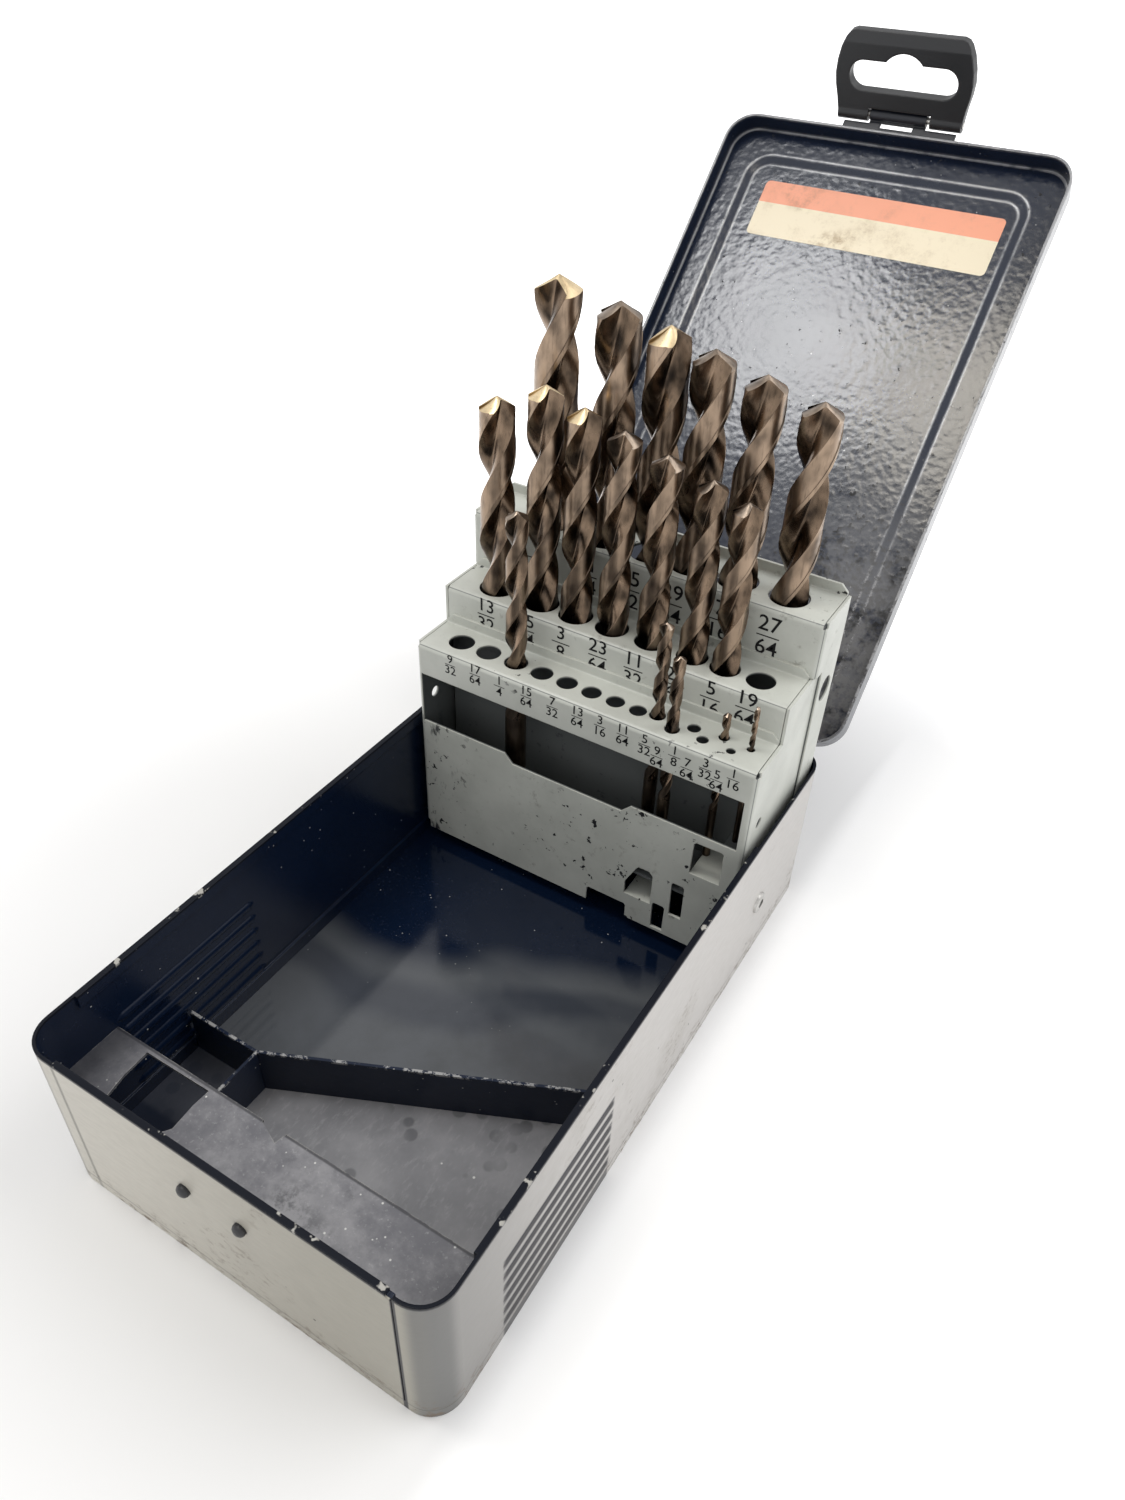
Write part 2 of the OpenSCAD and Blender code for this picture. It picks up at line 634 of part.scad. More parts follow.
// Front bracket: front panel with window and cut-outs, front step and both side plates
module rack_front_bracket() {
    plate = [[face_y + fold_r, bottom_z + 3], [face_y + 8, bottom_z], [pivot_y + 12, bottom_z],
        [flange_y, bottom_z + 12], [flange_y, step2_z], [y1, step2_z], [y1, step1_z],
        [face_y + fold_r, step1_z]];
    rack_paint() difference() {
        union() {
            folded_panel(rack_half, face_y, bottom_z, step1_z - fold_r, bottom_z + 3);
            folded_step(step_half, face_y, y1, step1_z);
            side_plate(-rack_half, plate);
            side_plate(flange_in, plate);
            // bent-in tabs
            translate([19.9 * spread, face_y, tab1_top - sheet]) cube([9 * spread, 10, sheet]);
            translate([39.9 * spread, face_y, rest_3_32 - sheet]) cube([9.4 * spread, 13.4, sheet]);
            // small ledge bent in from the right side plate, under the smallest drill
            translate([46.6 * spread, face_y + 5.4, rest_1_16 - sheet])
                cube([flange_in + 0.1 - 46.6 * spread, 7, sheet]);
        }
        translate([0, face_y + 3, 0]) rotate([90, 0, 0]) linear_extrude(height = 4) {
            panel_cut([[-53.7, window_top], [52.5, window_top], [52.5, window_bottom],
                [19.5, window_bottom], [16.6, window_bottom - window_dip],
                [-21, window_bottom - window_dip], [-23.8, window_bottom], [-53.7, window_bottom]]);
            panel_cut([[19.9, tab1_top], [19.9, 20.3], [23.1, 27], [24, 28.4], [27.6, 28.4],
                [28.9, 27], [28.9, tab1_top]]);
            panel_cut([[29.8, bottom_z + 1.2], [29.7, 16.1], [30.2, 16.7], [33.3, 16.7], [33.8, 16.1],
                [33.7, bottom_z + 1.2]]);
            panel_cut([[35.3, 14.8], [35.1, 27.6], [35.6, 28.2], [38.7, 28.2], [39.2, 27.6], [39.3, 14.8]]);
            panel_cut([[39.9, rest_3_32], [40.2, 46.5], [40.9, 47.2], [48.7, 47.4], [49.3, 46.8],
                [49.3, rest_3_32]]);
            panel_cut([[6.9, bottom_z - 2], [7.1, 10.2], [7.7, 10.8], [20.2, 10.8], [20.8, 10.2],
                [20.9, bottom_z - 2]]);
        }
        drill_holes(front_sizes, front_x, [for (y = front_y) face_y + y], step1_z);
        // side plate holes and pivot holes
        translate([-rack_half - 1, face_y + 7.1, window_bottom + 6.4]) rotate([0, 90, 0])
            cylinder(h = 2 * rack_half + 2, r = 1.75);
        translate([-rack_half - 1, pivot_y, pivot_z]) rotate([0, 90, 0])
            cylinder(h = 2 * rack_half + 2, r = pivot_r + pin_play);
    }
}

// Middle bracket: inner upright sheet and middle step
module rack_middle_bracket() {
    rack_paint() difference() {
        union() {
            translate([-step_half + 1.1, y1, floor_top])
                cube([2 * step_half - 2.2, sheet, step1_z - floor_top]);
            translate([-step_half, y1, step1_z]) cube([2 * step_half, sheet, step2_z - fold_r - step1_z]);
            folded_step(step_half, y1, y2, step2_z);
        }
        drill_holes(middle_sizes, middle_x, [for (x = middle_x) mid_y], step2_z);
    }
}

// Back bracket: inner upright sheet, back step and its own side plates over the front bracket's
module rack_back_bracket() {
    slope = 3.4;
    plate = [[flange_y - 0.01, floor_top], [y3 - slope, floor_top], [y3, step3_z - 12], [y3, step3_z],
        [y2 + fold_r, step3_z], [y2 + fold_r, step2_z + 0.2], [flange_y - 0.01, step2_z + 0.2]];
    rack_paint() difference() {
        union() {
            translate([-step_half + 0.4, y2, floor_top])
                cube([2 * step_half - 0.8, sheet, step2_z + 1 - floor_top]);
            folded_panel(rack_half + sheet, y2, step2_z + 0.2, step3_z - fold_r, step2_z + 0.2);
            folded_step(rack_half - 0.2, y2, y3, step3_z);
            side_plate(-rack_half - sheet, plate);
            side_plate(rack_half, plate);
        }
        drill_holes(back_sizes, back_x, [for (x = back_x) back_y], step3_z);
        translate([-rack_half - 2, y2 + 10.9, step3_z - 26.4]) rotate([0, 90, 0])
            cylinder(h = 2 * rack_half + 4, r = 3.9);
    }
}

// Plate the shanks stand on, with turned-down ends, notches round the rivets and cut corners
module rack_floor_plate() {
    rack_paint() difference() {
        union() {
            translate([-flange_in, face_y + sheet, floor_top - sheet])
                cube([2 * flange_in, y3 - 3.9 - face_y - sheet, sheet]);
            for (side = [-1, 1])
                translate([side * (flange_in - sheet / 2) - sheet / 2, pivot_y + 6, floor_top - 8])
                    cube([sheet, 12, 7.9]);
        }
        for (side = [-1, 1])
            translate([side * flange_in - 2.2, pivot_y - 5, floor_top - 5]) cube([4.4, 10, 10]);
        // front corners cut clear of the front bracket's folds
        for (side = [-1, 1])
            translate([side * flange_in - 1.2, face_y, floor_top - 2]) cube([2.4, fold_r + 0.3, 4]);
    }
}

// Raised ledge on the floor plate under the 5/32 and 9/64 drills
module rack_small_drill_ledge() {
    rack_paint() {
        translate([17.6 * spread, face_y + 2, ledge_top - sheet])
            cube([20 * spread, y1 - face_y - 2, sheet]);
        for (x = [17.6 * spread, 37.6 * spread - sheet])
            translate([x, face_y + 2, floor_top])
                cube([sheet, y1 - face_y - 2, ledge_top - floor_top - sheet / 2]);
    }
}

// Twist drill standing on its shank at z: one closed skin of stacked rings,
// round on the shank and two-fluted above it, turning right-handed once every 5.4 diameters
ring_n = 16;
flute_shape = [1, 1, 0.98, 0.9, 0.62, 0.36, 0.3, 0.62];

module drill(d, length, flute) {
    r = d / 2;
    turns = 14;
    tip = r / tan(point_angle / 2);
    z_run = length - flute;
    step = (flute - tip) / turns;
    // each ring: height, turn in degrees, how much of the flute is cut, radius factor
    rings = concat([[0, 0, 0, 0.86], [r * 0.14, 0, 0, 1], [z_run, 0, 0, 1]],
        [for (k = [1 : turns]) [z_run + k * step, 360 * k * step / (5.4 * d), min(1, k / 1.6), 1]],
        [[length - tip * 0.2, 360 * (flute - tip * 0.2) / (5.4 * d), 1, 0.22]]);
    m = len(rings);
    points = concat([[0, 0, 0]],
        [for (g = rings, i = [0 : ring_n - 1])
            let (f = 1 + (flute_shape[i % 8] - 1) * g[2], a = g[1] + i * 360 / ring_n)
                [r * g[3] * f * cos(a), r * g[3] * f * sin(a), g[0]]],
        [[0, 0, length]]);
    faces = concat(
        [for (i = [0 : ring_n - 1]) [0, 1 + i, 1 + (i + 1) % ring_n]],
        [for (k = [0 : m - 2], i = [0 : ring_n - 1])
            [1 + k * ring_n + i, 1 + (k + 1) * ring_n + i, 1 + k * ring_n + (i + 1) % ring_n]],
        [for (k = [0 : m - 2], i = [0 : ring_n - 1])
            [1 + k * ring_n + (i + 1) % ring_n, 1 + (k + 1) * ring_n + i,
                1 + (k + 1) * ring_n + (i + 1) % ring_n]],
        [for (i = [0 : ring_n - 1])
            [1 + (m - 1) * ring_n + (i + 1) % ring_n, 1 + (m - 1) * ring_n + i, 1 + m * ring_n]]);
    drill_steel() polyhedron(points = points, faces = faces, convexity = 6);
}

// Jobber length in inches falls an eighth for each sixty-fourth under half an inch
function jobber(n) = inch * (6 - (32 - n) / 8);

module back_drill(i) {
    translate([back_x[i] * spread, back_y, floor_top])
        drill(size_mm(back_sizes[i]), jobber(back_sizes[i]), jobber(back_sizes[i]) * 0.75);
}
module middle_drill(i, length) {
    translate([middle_x[i] * spread, mid_y, floor_top])
        drill(size_mm(middle_sizes[i]), length, length - jobber(middle_sizes[i]) * 0.27);
}
module front_drill(i, z, length) {
    translate([front_x[i] * spread, face_y + front_y[i], z])
        drill(size_mm(front_sizes[i]), length, length * 0.66);
}

module drill_1_2() { back_drill(0); }
module drill_31_64() { back_drill(1); }
module drill_15_32() { back_drill(2); }
module drill_29_64() { back_drill(3); }
module drill_7_16() { back_drill(4); }
module drill_27_64() { back_drill(5); }
module drill_13_32() { middle_drill(0, reground_13_32); }
module drill_25_64() { middle_drill(1, jobber(25)); }
module drill_3_8() { middle_drill(2, jobber(24)); }
module drill_23_64() { middle_drill(3, jobber(23)); }
module drill_11_32() { middle_drill(4, jobber(22)); }
module drill_21_64() { middle_drill(5, jobber(21)); }
module drill_5_16() { middle_drill(6, jobber(20)); }
module drill_1_4() { front_drill(2, floor_top, 4 * inch); }
module drill_5_32() { front_drill(8, ledge_top, 3.125 * inch); }
module drill_9_64() { front_drill(9, ledge_top, 2.875 * inch); }
module drill_3_32() { front_drill(12, rest_3_32, reground_3_32); }
module drill_1_16() { front_drill(14, rest_1_16, 1.875 * inch); }

tray_bottom_pan();
tray_wall_wrap();
tray_front_panel();
latch_studs();
front_shelf();
tip_stop_strip();
cross_divider();
tray_hinge_leaf();
lid_hinge_pin();
rack_pivot_rivets();
rack_spacer_washers();
lid_pan();
lid_hinge_leaf();
lid_hook_tab();
hook_hinge_pin();
hanger_hook();
rack_front_bracket();
rack_middle_bracket();
rack_back_bracket();
rack_floor_plate();
rack_small_drill_ledge();
drill_1_2();
drill_31_64();
drill_15_32();
drill_29_64();
drill_7_16();
drill_27_64();
drill_13_32();
drill_25_64();
drill_3_8();
drill_23_64();
drill_11_32();
drill_21_64();
drill_5_16();
drill_1_4();
drill_5_32();
drill_9_64();
drill_3_32();
drill_1_16();
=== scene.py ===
"""The drill bit case, dressed and lit as in the photograph. Metres, in the model's own frame."""

import json
import math

import bmesh
import bpy
from mathutils import Matrix, Vector


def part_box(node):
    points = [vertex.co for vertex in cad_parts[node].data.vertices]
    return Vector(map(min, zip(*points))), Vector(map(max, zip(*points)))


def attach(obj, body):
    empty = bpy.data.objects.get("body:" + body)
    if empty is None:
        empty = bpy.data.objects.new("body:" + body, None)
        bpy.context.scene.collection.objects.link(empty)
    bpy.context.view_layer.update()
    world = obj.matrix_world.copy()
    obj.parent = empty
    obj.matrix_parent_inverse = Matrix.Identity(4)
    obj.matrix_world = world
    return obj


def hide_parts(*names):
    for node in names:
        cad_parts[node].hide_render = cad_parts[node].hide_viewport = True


MM = 0.001
INCH = 25.4 * MM

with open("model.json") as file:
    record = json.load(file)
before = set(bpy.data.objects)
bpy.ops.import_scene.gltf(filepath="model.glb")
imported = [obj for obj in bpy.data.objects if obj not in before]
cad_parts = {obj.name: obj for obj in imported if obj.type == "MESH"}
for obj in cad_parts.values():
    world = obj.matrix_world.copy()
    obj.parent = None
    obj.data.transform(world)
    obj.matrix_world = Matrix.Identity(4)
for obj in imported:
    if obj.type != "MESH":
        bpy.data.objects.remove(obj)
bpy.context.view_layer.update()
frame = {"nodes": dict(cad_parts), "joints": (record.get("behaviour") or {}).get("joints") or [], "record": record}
nodes = frame["nodes"]


# Places read from the frame

joints = {joint["name"]: joint for joint in frame["joints"]}
hinge_at = Vector(joints["lid_hinge"]["pos_m"])
lid_open = math.radians(135)
tray_high = Vector(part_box("tray_bottom_pan")[1])
half_w, half_l = tray_high.x, tray_high.y
rim_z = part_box("tray_front_panel")[1][2]
rack_low, rack_high = (Vector(corner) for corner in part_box("rack_front_bracket"))
front_face = rack_low.y
middle_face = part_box("rack_middle_bracket")[0][1]
back_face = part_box("rack_back_bracket")[0][1]
SHEET = 0.8 * MM
CORNER_R = 8.4 * MM


def on_lid(point):
    """A point drawn on the shut lid, turned open about the hinge line."""
    return hinge_at + Matrix.Rotation(-lid_open, 3, "X") @ (Vector(point) - hinge_at)


# Camera at the photograph's viewpoint

CAMERA_AT = Vector((120.61, -168.23, 263.45)) * MM
CAMERA_TURN, CAMERA_DOWN, CAMERA_ROLL = (math.radians(a) for a in (30.18, 39.29, 2.236))
CAMERA_LENS, CAMERA_SHIFT = 26.7624, (0.0018, 0.0009)


def make_camera():
    ahead = Vector(
        (
            -math.sin(CAMERA_TURN) * math.cos(CAMERA_DOWN),
            math.cos(CAMERA_TURN) * math.cos(CAMERA_DOWN),
            -math.sin(CAMERA_DOWN),
        )
    )
    right = ahead.cross(Vector((0, 0, 1))).normalized()
    up = right.cross(ahead)
    tilt = Matrix.Rotation(-CAMERA_ROLL, 3, ahead)
    right, up = tilt @ right, tilt @ up
    data = bpy.data.cameras.new("camera")
    data.sensor_fit, data.sensor_height, data.lens = "VERTICAL", 36, CAMERA_LENS
    data.shift_x, data.shift_y = CAMERA_SHIFT
    data.clip_start, data.clip_end = 0.01, 20
    camera = bpy.data.objects.new("camera", data)
    turn = Matrix((right, up, -ahead)).transposed()
    camera.matrix_world = Matrix.Translation(CAMERA_AT) @ turn.to_4x4()
    bpy.context.scene.collection.objects.link(camera)
    bpy.context.scene.camera = camera


# Material kit: short calls that add shader nodes and hand back their output sockets


class Look:
    def __init__(self, name, roughness=0.4, metallic=0.0, specular=0.5):
        self.material = bpy.data.materials.new(name)
        self.material.use_nodes = True
        self.tree = self.material.node_tree
        self.shader = self.tree.nodes["Principled BSDF"]
        self.shader.inputs["Roughness"].default_value = roughness
        self.shader.inputs["Metallic"].default_value = metallic
        self.shader.inputs["Specular IOR Level"].default_value = specular
        own = self.add("ShaderNodeTexCoord").outputs
        self.place, self.normal = own["Object"], own["Normal"]

    def add(self, kind, inputs=(), **settings):
        node = self.tree.nodes.new(kind)
        for key, value in settings.items():
            setattr(node, key, value)
        for key, value in dict(inputs).items():
            self.give(node.inputs[key], value)
        return node

    def give(self, socket, value):
        if isinstance(value, bpy.types.NodeSocket):
            self.tree.links.new(value, socket)
        else:
            socket.default_value = value

    def math(self, operation, a, b=0.0):
        return self.add("ShaderNodeMath", {0: a, 1: b}, operation=operation).outputs[0]

    def plus(self, a, b):
        return self.math("ADD", a, b)

    def minus(self, a, b):
        return self.math("SUBTRACT", a, b)

    def times(self, a, b):
        return self.math("MULTIPLY", a, b)

    def most(self, a, b):
        return self.math("MAXIMUM", a, b)

    def size(self, a):
        return self.math("ABSOLUTE", a)

    def vector(self, operation, a, b=(0, 0, 0)):
        return self.add("ShaderNodeVectorMath", {0: a, 1: b}, operation=operation).outputs["Value"]

    def axis(self, name):
        return self.add("ShaderNodeSeparateXYZ", {0: self.place}).outputs[name]

    def stretched(self, scale):
        """The object's own coordinates in metres, scaled by axis."""
        return self.add("ShaderNodeMapping", {"Vector": self.place, "Scale": scale}).outputs[0]

    def noise(self, scale, detail=3.0, roughness=0.55, at=None):
        """Noise from 0 to 1; scale is in features per metre."""
        inputs = {"Vector": at or self.place, "Scale": scale, "Detail": detail, "Roughness": roughness}
        return self.add("ShaderNodeTexNoise", inputs).outputs["Fac"]

    def cells(self, scale):
        """Distance to the nearest of scattered points, in their own spacing."""
        inputs = {"Vector": self.place, "Scale": scale}
        return self.add("ShaderNodeTexVoronoi", inputs).outputs["Distance"]

    def step(self, value, low, high):
        """0 below low and 1 above high, or the other way round, with a soft rise."""
        inputs = {"Value": value, "From Min": low, "From Max": high}
        return self.add("ShaderNodeMapRange", inputs, interpolation_type="SMOOTHSTEP").outputs[0]

    def mix(self, share, a, b):
        def colour(value):
            return value if isinstance(value, bpy.types.NodeSocket) else (*value, 1.0)

        node = self.add("ShaderNodeMix", data_type="RGBA")
        self.give(node.inputs[0], share)
        self.give(node.inputs[6], colour(a))
        self.give(node.inputs[7], colour(b))
        return node.outputs[2]

    def blend(self, share, a, b):
        node = self.add("ShaderNodeMix", data_type="FLOAT")
        for index, value in ((0, share), (2, a), (3, b)):
            self.give(node.inputs[index], value)
        return node.outputs[0]

    def edges(self, radius, low=0.02, high=0.25):
        """1 along the piece's sharp edges and 0 on its flats."""
        soft = self.add("ShaderNodeBevel", {"Radius": radius}, samples=4).outputs[0]
        true = self.add("ShaderNodeNewGeometry").outputs["Normal"]
        same = self.vector("DOT_PRODUCT", soft, true)
        return self.step(self.minus(1.0, same), low, high)

    def finish(self, colour, roughness=None, bumps=(), round_edges=0.0):
        """Connects the colour, the roughness and the bumps, each (height, strength, distance)."""
        self.give(self.shader.inputs["Base Color"], colour)
        if roughness is not None:
            self.give(self.shader.inputs["Roughness"], roughness)
        normal = None
        if round_edges:
            normal = self.add("ShaderNodeBevel", {"Radius": round_edges}, samples=6).outputs[0]
        for height, strength, distance in bumps:
            inputs = {"Height": height, "Strength": strength, "Distance": distance}
            if normal:
                inputs["Normal"] = normal
            normal = self.add("ShaderNodeBump", inputs).outputs[0]
        if normal:
            self.give(self.shader.inputs["Normal"], normal)
        return self.material


# Materials

NAVY, NAVY_LIGHT = (0.0028, 0.008, 0.024), (0.0045, 0.011, 0.031)
STOP_Y, STOP_BEND, STOP_SLOPE = -half_l + 42.7 * MM, -half_w + 25.8 * MM, 0.463
SHELF_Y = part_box("front_shelf")[1][1]
STOP_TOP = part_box("tip_stop_strip")[1][2]
LID_INWARD = (0, -math.sqrt(0.5), math.sqrt(0.5))
SEAM_RIGHT, SEAM_LEFT = half_w - 9.5 * MM, -half_w + 11.5 * MM
RIB_FIRST, RIB_PITCH, RIB_FROM, RIB_TO = 6.8 * MM, 5.2 * MM, -half_l + 23.1 * MM, -half_l + 71.1 * MM


def inside_tray(look):
    """1 on the faces that look into the tray, by their distance to the walls' middle plane."""
    x = look.minus(look.size(look.axis("X")), half_w - CORNER_R)
    y = look.minus(look.size(look.axis("Y")), half_l - CORNER_R)
    square = look.add("ShaderNodeCombineXYZ", {0: look.most(x, 0.0), 1: look.most(y, 0.0)}).outputs[0]
    round_part = look.vector("LENGTH", square)
    flat_part = look.math("MINIMUM", look.most(x, y), 0.0)
    out = look.minus(look.plus(round_part, flat_part), CORNER_R)
    walls = look.math("LESS_THAN", out, -0.5 * SHEET)
    above = look.math("GREATER_THAN", look.axis("Z"), 0.5 * SHEET)
    rim = look.math("GREATER_THAN", look.axis("Z"), rim_z - 0.25 * MM)
    return look.most(look.times(walls, above), rim)


def flecks(look, scale, size, patches):
    """Small scattered specks, only where a slow noise is high."""
    spots = look.step(look.cells(scale), size, 0.6 * size)
    return look.times(spots, look.step(look.noise(patches, 2), 0.50, 0.58))


def navy_colour(look, dusty=0.3):
    """Gloss navy paint with a veil of dust and small pale flecks."""
    cloud = look.noise(28, 5, 0.6)
    dust = look.times(look.step(look.noise(900, 4, 0.7), 0.55, 0.75), look.step(cloud, 0.4, 0.7))
    base = look.mix(look.step(cloud, 0.3, 0.75), NAVY, NAVY_LIGHT)
    veiled = look.mix(look.times(dust, dusty), base, (0.075, 0.080, 0.095))
    return look.mix(look.times(flecks(look, 330, 0.09, 60), 0.8), veiled, (0.5, 0.5, 0.48))


def outside_colour(look):
    """Pale satin metal: fine brushing, a bold seam, scuffed lower edges and a worn rim, with painted shade that
    darkens the front to the right, the sides towards the front and the rounded corners, and painted shade and dirt
    in the rib grooves.
    """
    x, y, z = (look.axis(name) for name in "XYZ")
    brush = look.noise(240, 4, 0.6, at=look.stretched((1.0, 1.0, 4.0)))
    front = look.step(y, -half_l + 3 * MM, -half_l + 1 * MM)
    # Painted shade: the front face darkens to the right and the side faces darken towards the front.
    across = look.step(x, -0.9 * half_w, 0.8 * half_w)
    side = look.mix(look.step(y, -half_l, -0.4 * half_l), (0.27, 0.262, 0.252), (0.57, 0.55, 0.53))
    wall = look.mix(front, side, look.mix(across, (0.64, 0.61, 0.54), (0.38, 0.36, 0.305)))
    wall = look.mix(look.step(brush, 0.35, 0.65), wall, look.mix(0.10, wall, (0.2, 0.18, 0.15)))
    grubby = look.times(look.step(look.noise(30, 5, 0.7), 0.52, 0.75), 0.3)
    wall = look.mix(grubby, wall, (0.30, 0.28, 0.24))
    # Painted shade on the rounded corners.
    past_x = look.step(look.size(x), half_w - CORNER_R, half_w - 0.6 * CORNER_R)
    past_y = look.step(look.size(y), half_l - CORNER_R, half_l - 0.6 * CORNER_R)
    wall = look.mix(look.times(look.times(past_x, past_y), 0.85), wall, (0.155, 0.155, 0.15))
    low = look.step(z, 10 * MM, 1 * MM)
    scratch = look.step(look.noise(300, 5, 0.75, at=look.stretched((1.0, 1.0, 2.0))), 0.53, 0.62)
    patches = look.times(look.step(look.noise(33, 3), 0.56, 0.66), 0.5)
    wall = look.mix(look.times(scratch, look.most(low, patches)), wall, (0.17, 0.125, 0.09))
    wall = look.mix(flecks(look, 150, 0.07, 30), wall, (0.05, 0.045, 0.04))
    # Painted shade, with some dirt, in the rib grooves.
    to_rib = look.math("DIVIDE", look.minus(z, RIB_FIRST), RIB_PITCH)
    off = look.size(look.minus(look.math("FRACT", look.plus(to_rib, 0.5)), 0.5))
    groove = look.step(off, 0.43, 0.29)
    beside = look.times(look.step(y, RIB_FROM, RIB_FROM + MM), look.step(y, RIB_TO, RIB_TO - MM))
    groove = look.times(groove, look.times(beside, look.step(z, 35.5 * MM, 35.0 * MM)))
    wall = look.mix(look.times(groove, 0.92), wall, (0.065, 0.063, 0.067))
    fold = look.size(look.minus(z, 3.4 * MM))
    wall = look.mix(look.times(look.step(fold, 0.45 * MM, 0.15 * MM), 0.45), wall, (0.10, 0.09, 0.08))
    for seam, dark in ((SEAM_RIGHT, 1.0), (SEAM_LEFT, 0.35)):
        near = look.step(look.size(look.minus(x, seam)), 0.8 * MM, 0.45 * MM)
        wall = look.mix(look.times(look.times(near, front), dark), wall, (0.012, 0.012, 0.018))
    worn = look.step(look.noise(120, 4, 0.7), 0.60, 0.64)
    line = look.times(look.step(z, rim_z - 1.2 * MM, rim_z - 0.8 * MM), look.minus(1.0, worn))
    return look.mix(look.times(line, 0.85), wall, (0.035, 0.035, 0.042))


def tray_look():
    """The walls: metal outside and navy inside, with a dark rim whose paint is chipped."""
    look = Look("tray_paint", specular=0.4)
    inside = inside_tray(look)
    colour = look.mix(inside, outside_colour(look), navy_colour(look, 0.15))
    cloud = look.noise(22, 4, 0.6)
    rough = look.blend(inside, look.blend(cloud, 0.30, 0.44), look.blend(cloud, 0.16, 0.32))
    rim = look.step(look.axis("Z"), rim_z - 1.0 * MM, rim_z - 0.4 * MM)
    chips = look.times(rim, look.step(look.noise(110, 4, 0.75), 0.60, 0.64))
    colour = look.mix(look.times(rim, 0.9), colour, (0.006, 0.007, 0.011))
    colour = look.mix(chips, colour, (0.42, 0.41, 0.38))
    look.give(look.shader.inputs["Specular IOR Level"], look.blend(rim, 0.35, 0.12))
    return look.finish(colour, rough, [(look.noise(700, 2, 0.5), 0.10, 0.2 * MM)], round_edges=0.4 * MM)


def pan_look():
    """The floor: gloss navy behind the tip stop, dull dusty grey with oil spots before it."""
    look = Look("pan_paint", specular=0.5)
    inside = inside_tray(look)
    x, y = look.axis("X"), look.axis("Y")
    run = look.times(look.most(look.minus(x, STOP_BEND), 0.0), STOP_SLOPE)
    line = look.plus(run, STOP_Y)
    bay = look.step(look.minus(y, line), 0.3 * MM, -0.3 * MM)
    brush = look.noise(800, 4, 0.7, at=look.stretched((1.0, 0.35, 1.0)))
    cloud = look.noise(30, 5, 0.65)
    grey = look.mix(look.step(cloud, 0.3, 0.7), (0.155, 0.156, 0.168), (0.255, 0.253, 0.266))
    grey = look.mix(look.times(look.step(brush, 0.5, 0.7), 0.5), grey, (0.28, 0.28, 0.29))
    oil = look.times(look.step(look.cells(150), 0.33, 0.24), look.step(look.noise(26, 2), 0.42, 0.52))
    grey = look.mix(look.times(oil, 0.6), grey, (0.06, 0.062, 0.07))
    grey = look.mix(flecks(look, 200, 0.09, 50), grey, (0.6, 0.6, 0.58))
    small_bay = look.step(x, STOP_BEND, STOP_BEND - MM)
    grey = look.mix(look.times(small_bay, 0.86), grey, (0.012, 0.018, 0.036))
    under_shelf = look.step(y, SHELF_Y, SHELF_Y - 2 * MM)
    grey = look.mix(look.times(under_shelf, 0.95), grey, NAVY)
    smudge = look.step(look.noise(18, 6, 0.7), 0.45, 0.75)
    wander = look.times(look.minus(look.noise(14, 2, 0.5), 0.5), 40 * MM)
    behind = look.plus(look.minus(y, line), wander)
    haze = look.step(behind, 62 * MM, 46 * MM)
    streak = look.size(look.minus(behind, 38 * MM))
    haze = look.times(haze, look.plus(look.times(look.step(streak, 2 * MM, 9 * MM), 0.45), 0.55))
    dusty = look.mix(smudge, (0.088, 0.095, 0.107), (0.064, 0.069, 0.075))
    floor = look.mix(haze, navy_colour(look), dusty)
    colour = look.mix(inside, outside_colour(look), look.mix(bay, floor, grey))
    rough = look.blend(bay, look.blend(smudge, 0.10, 0.20), 0.42)
    rough = look.blend(inside, 0.4, rough)
    return look.finish(colour, rough, [(look.noise(90, 2, 0.4), 0.12, 0.3 * MM)], round_edges=0.3 * MM)


def dark_look():
    """The lid: gloss navy with orange peel, bright worn edges, painted highlights along the pressed bead, and dull
    black specks low on its right under a painted pale sheen.
    """
    look = Look("dark_paint", specular=0.55)
    colour = navy_colour(look, 0.4)
    inner = look.step(look.vector("DOT_PRODUCT", look.normal, LID_INWARD), 0.2, 0.6)
    worn = look.times(look.edges(0.5 * MM), look.step(look.noise(160, 4, 0.7), 0.50, 0.62))
    colour = look.mix(look.times(worn, 0.8), colour, (0.35, 0.34, 0.32))
    # Painted highlight along the folds of the pressed bead, stronger on the inner face.
    crease_highlight = look.times(look.edges(1.3 * MM, 0.001, 0.006), look.step(look.noise(70, 4, 0.6), 0.25, 0.50))
    crease_highlight = look.times(crease_highlight, look.blend(inner, 0.25, 0.85))
    colour = look.mix(crease_highlight, colour, (0.60, 0.60, 0.61))
    along = look.times(look.plus(look.axis("Y"), look.axis("Z")), math.sqrt(0.5))
    up = look.minus(along, (hinge_at.y + hinge_at.z) * math.sqrt(0.5))
    low = look.step(up, 110 * MM, 40 * MM)
    right = look.step(look.axis("X"), -10 * MM, 45 * MM)
    area = look.times(look.times(low, right), inner)
    grain = look.noise(420, 5, 0.75)
    specks = look.math("GREATER_THAN", look.plus(grain, look.times(area, 0.17)), 0.655)
    colour = look.mix(specks, colour, (0.012, 0.012, 0.014))
    # Painted light: a pale grey sheen over the low right of the inner face.
    veil = look.times(area, look.step(look.noise(90, 4, 0.7), 0.33, 0.53))
    colour = look.mix(look.times(veil, 0.5), colour, (0.32, 0.32, 0.325))
    rough = look.blend(specks, look.blend(look.noise(40, 4), 0.12, 0.22), 0.75)
    peel = look.noise(420, 1, 0.4)
    return look.finish(colour, rough, [(peel, 0.30, 0.3 * MM)], round_edges=0.7 * MM)


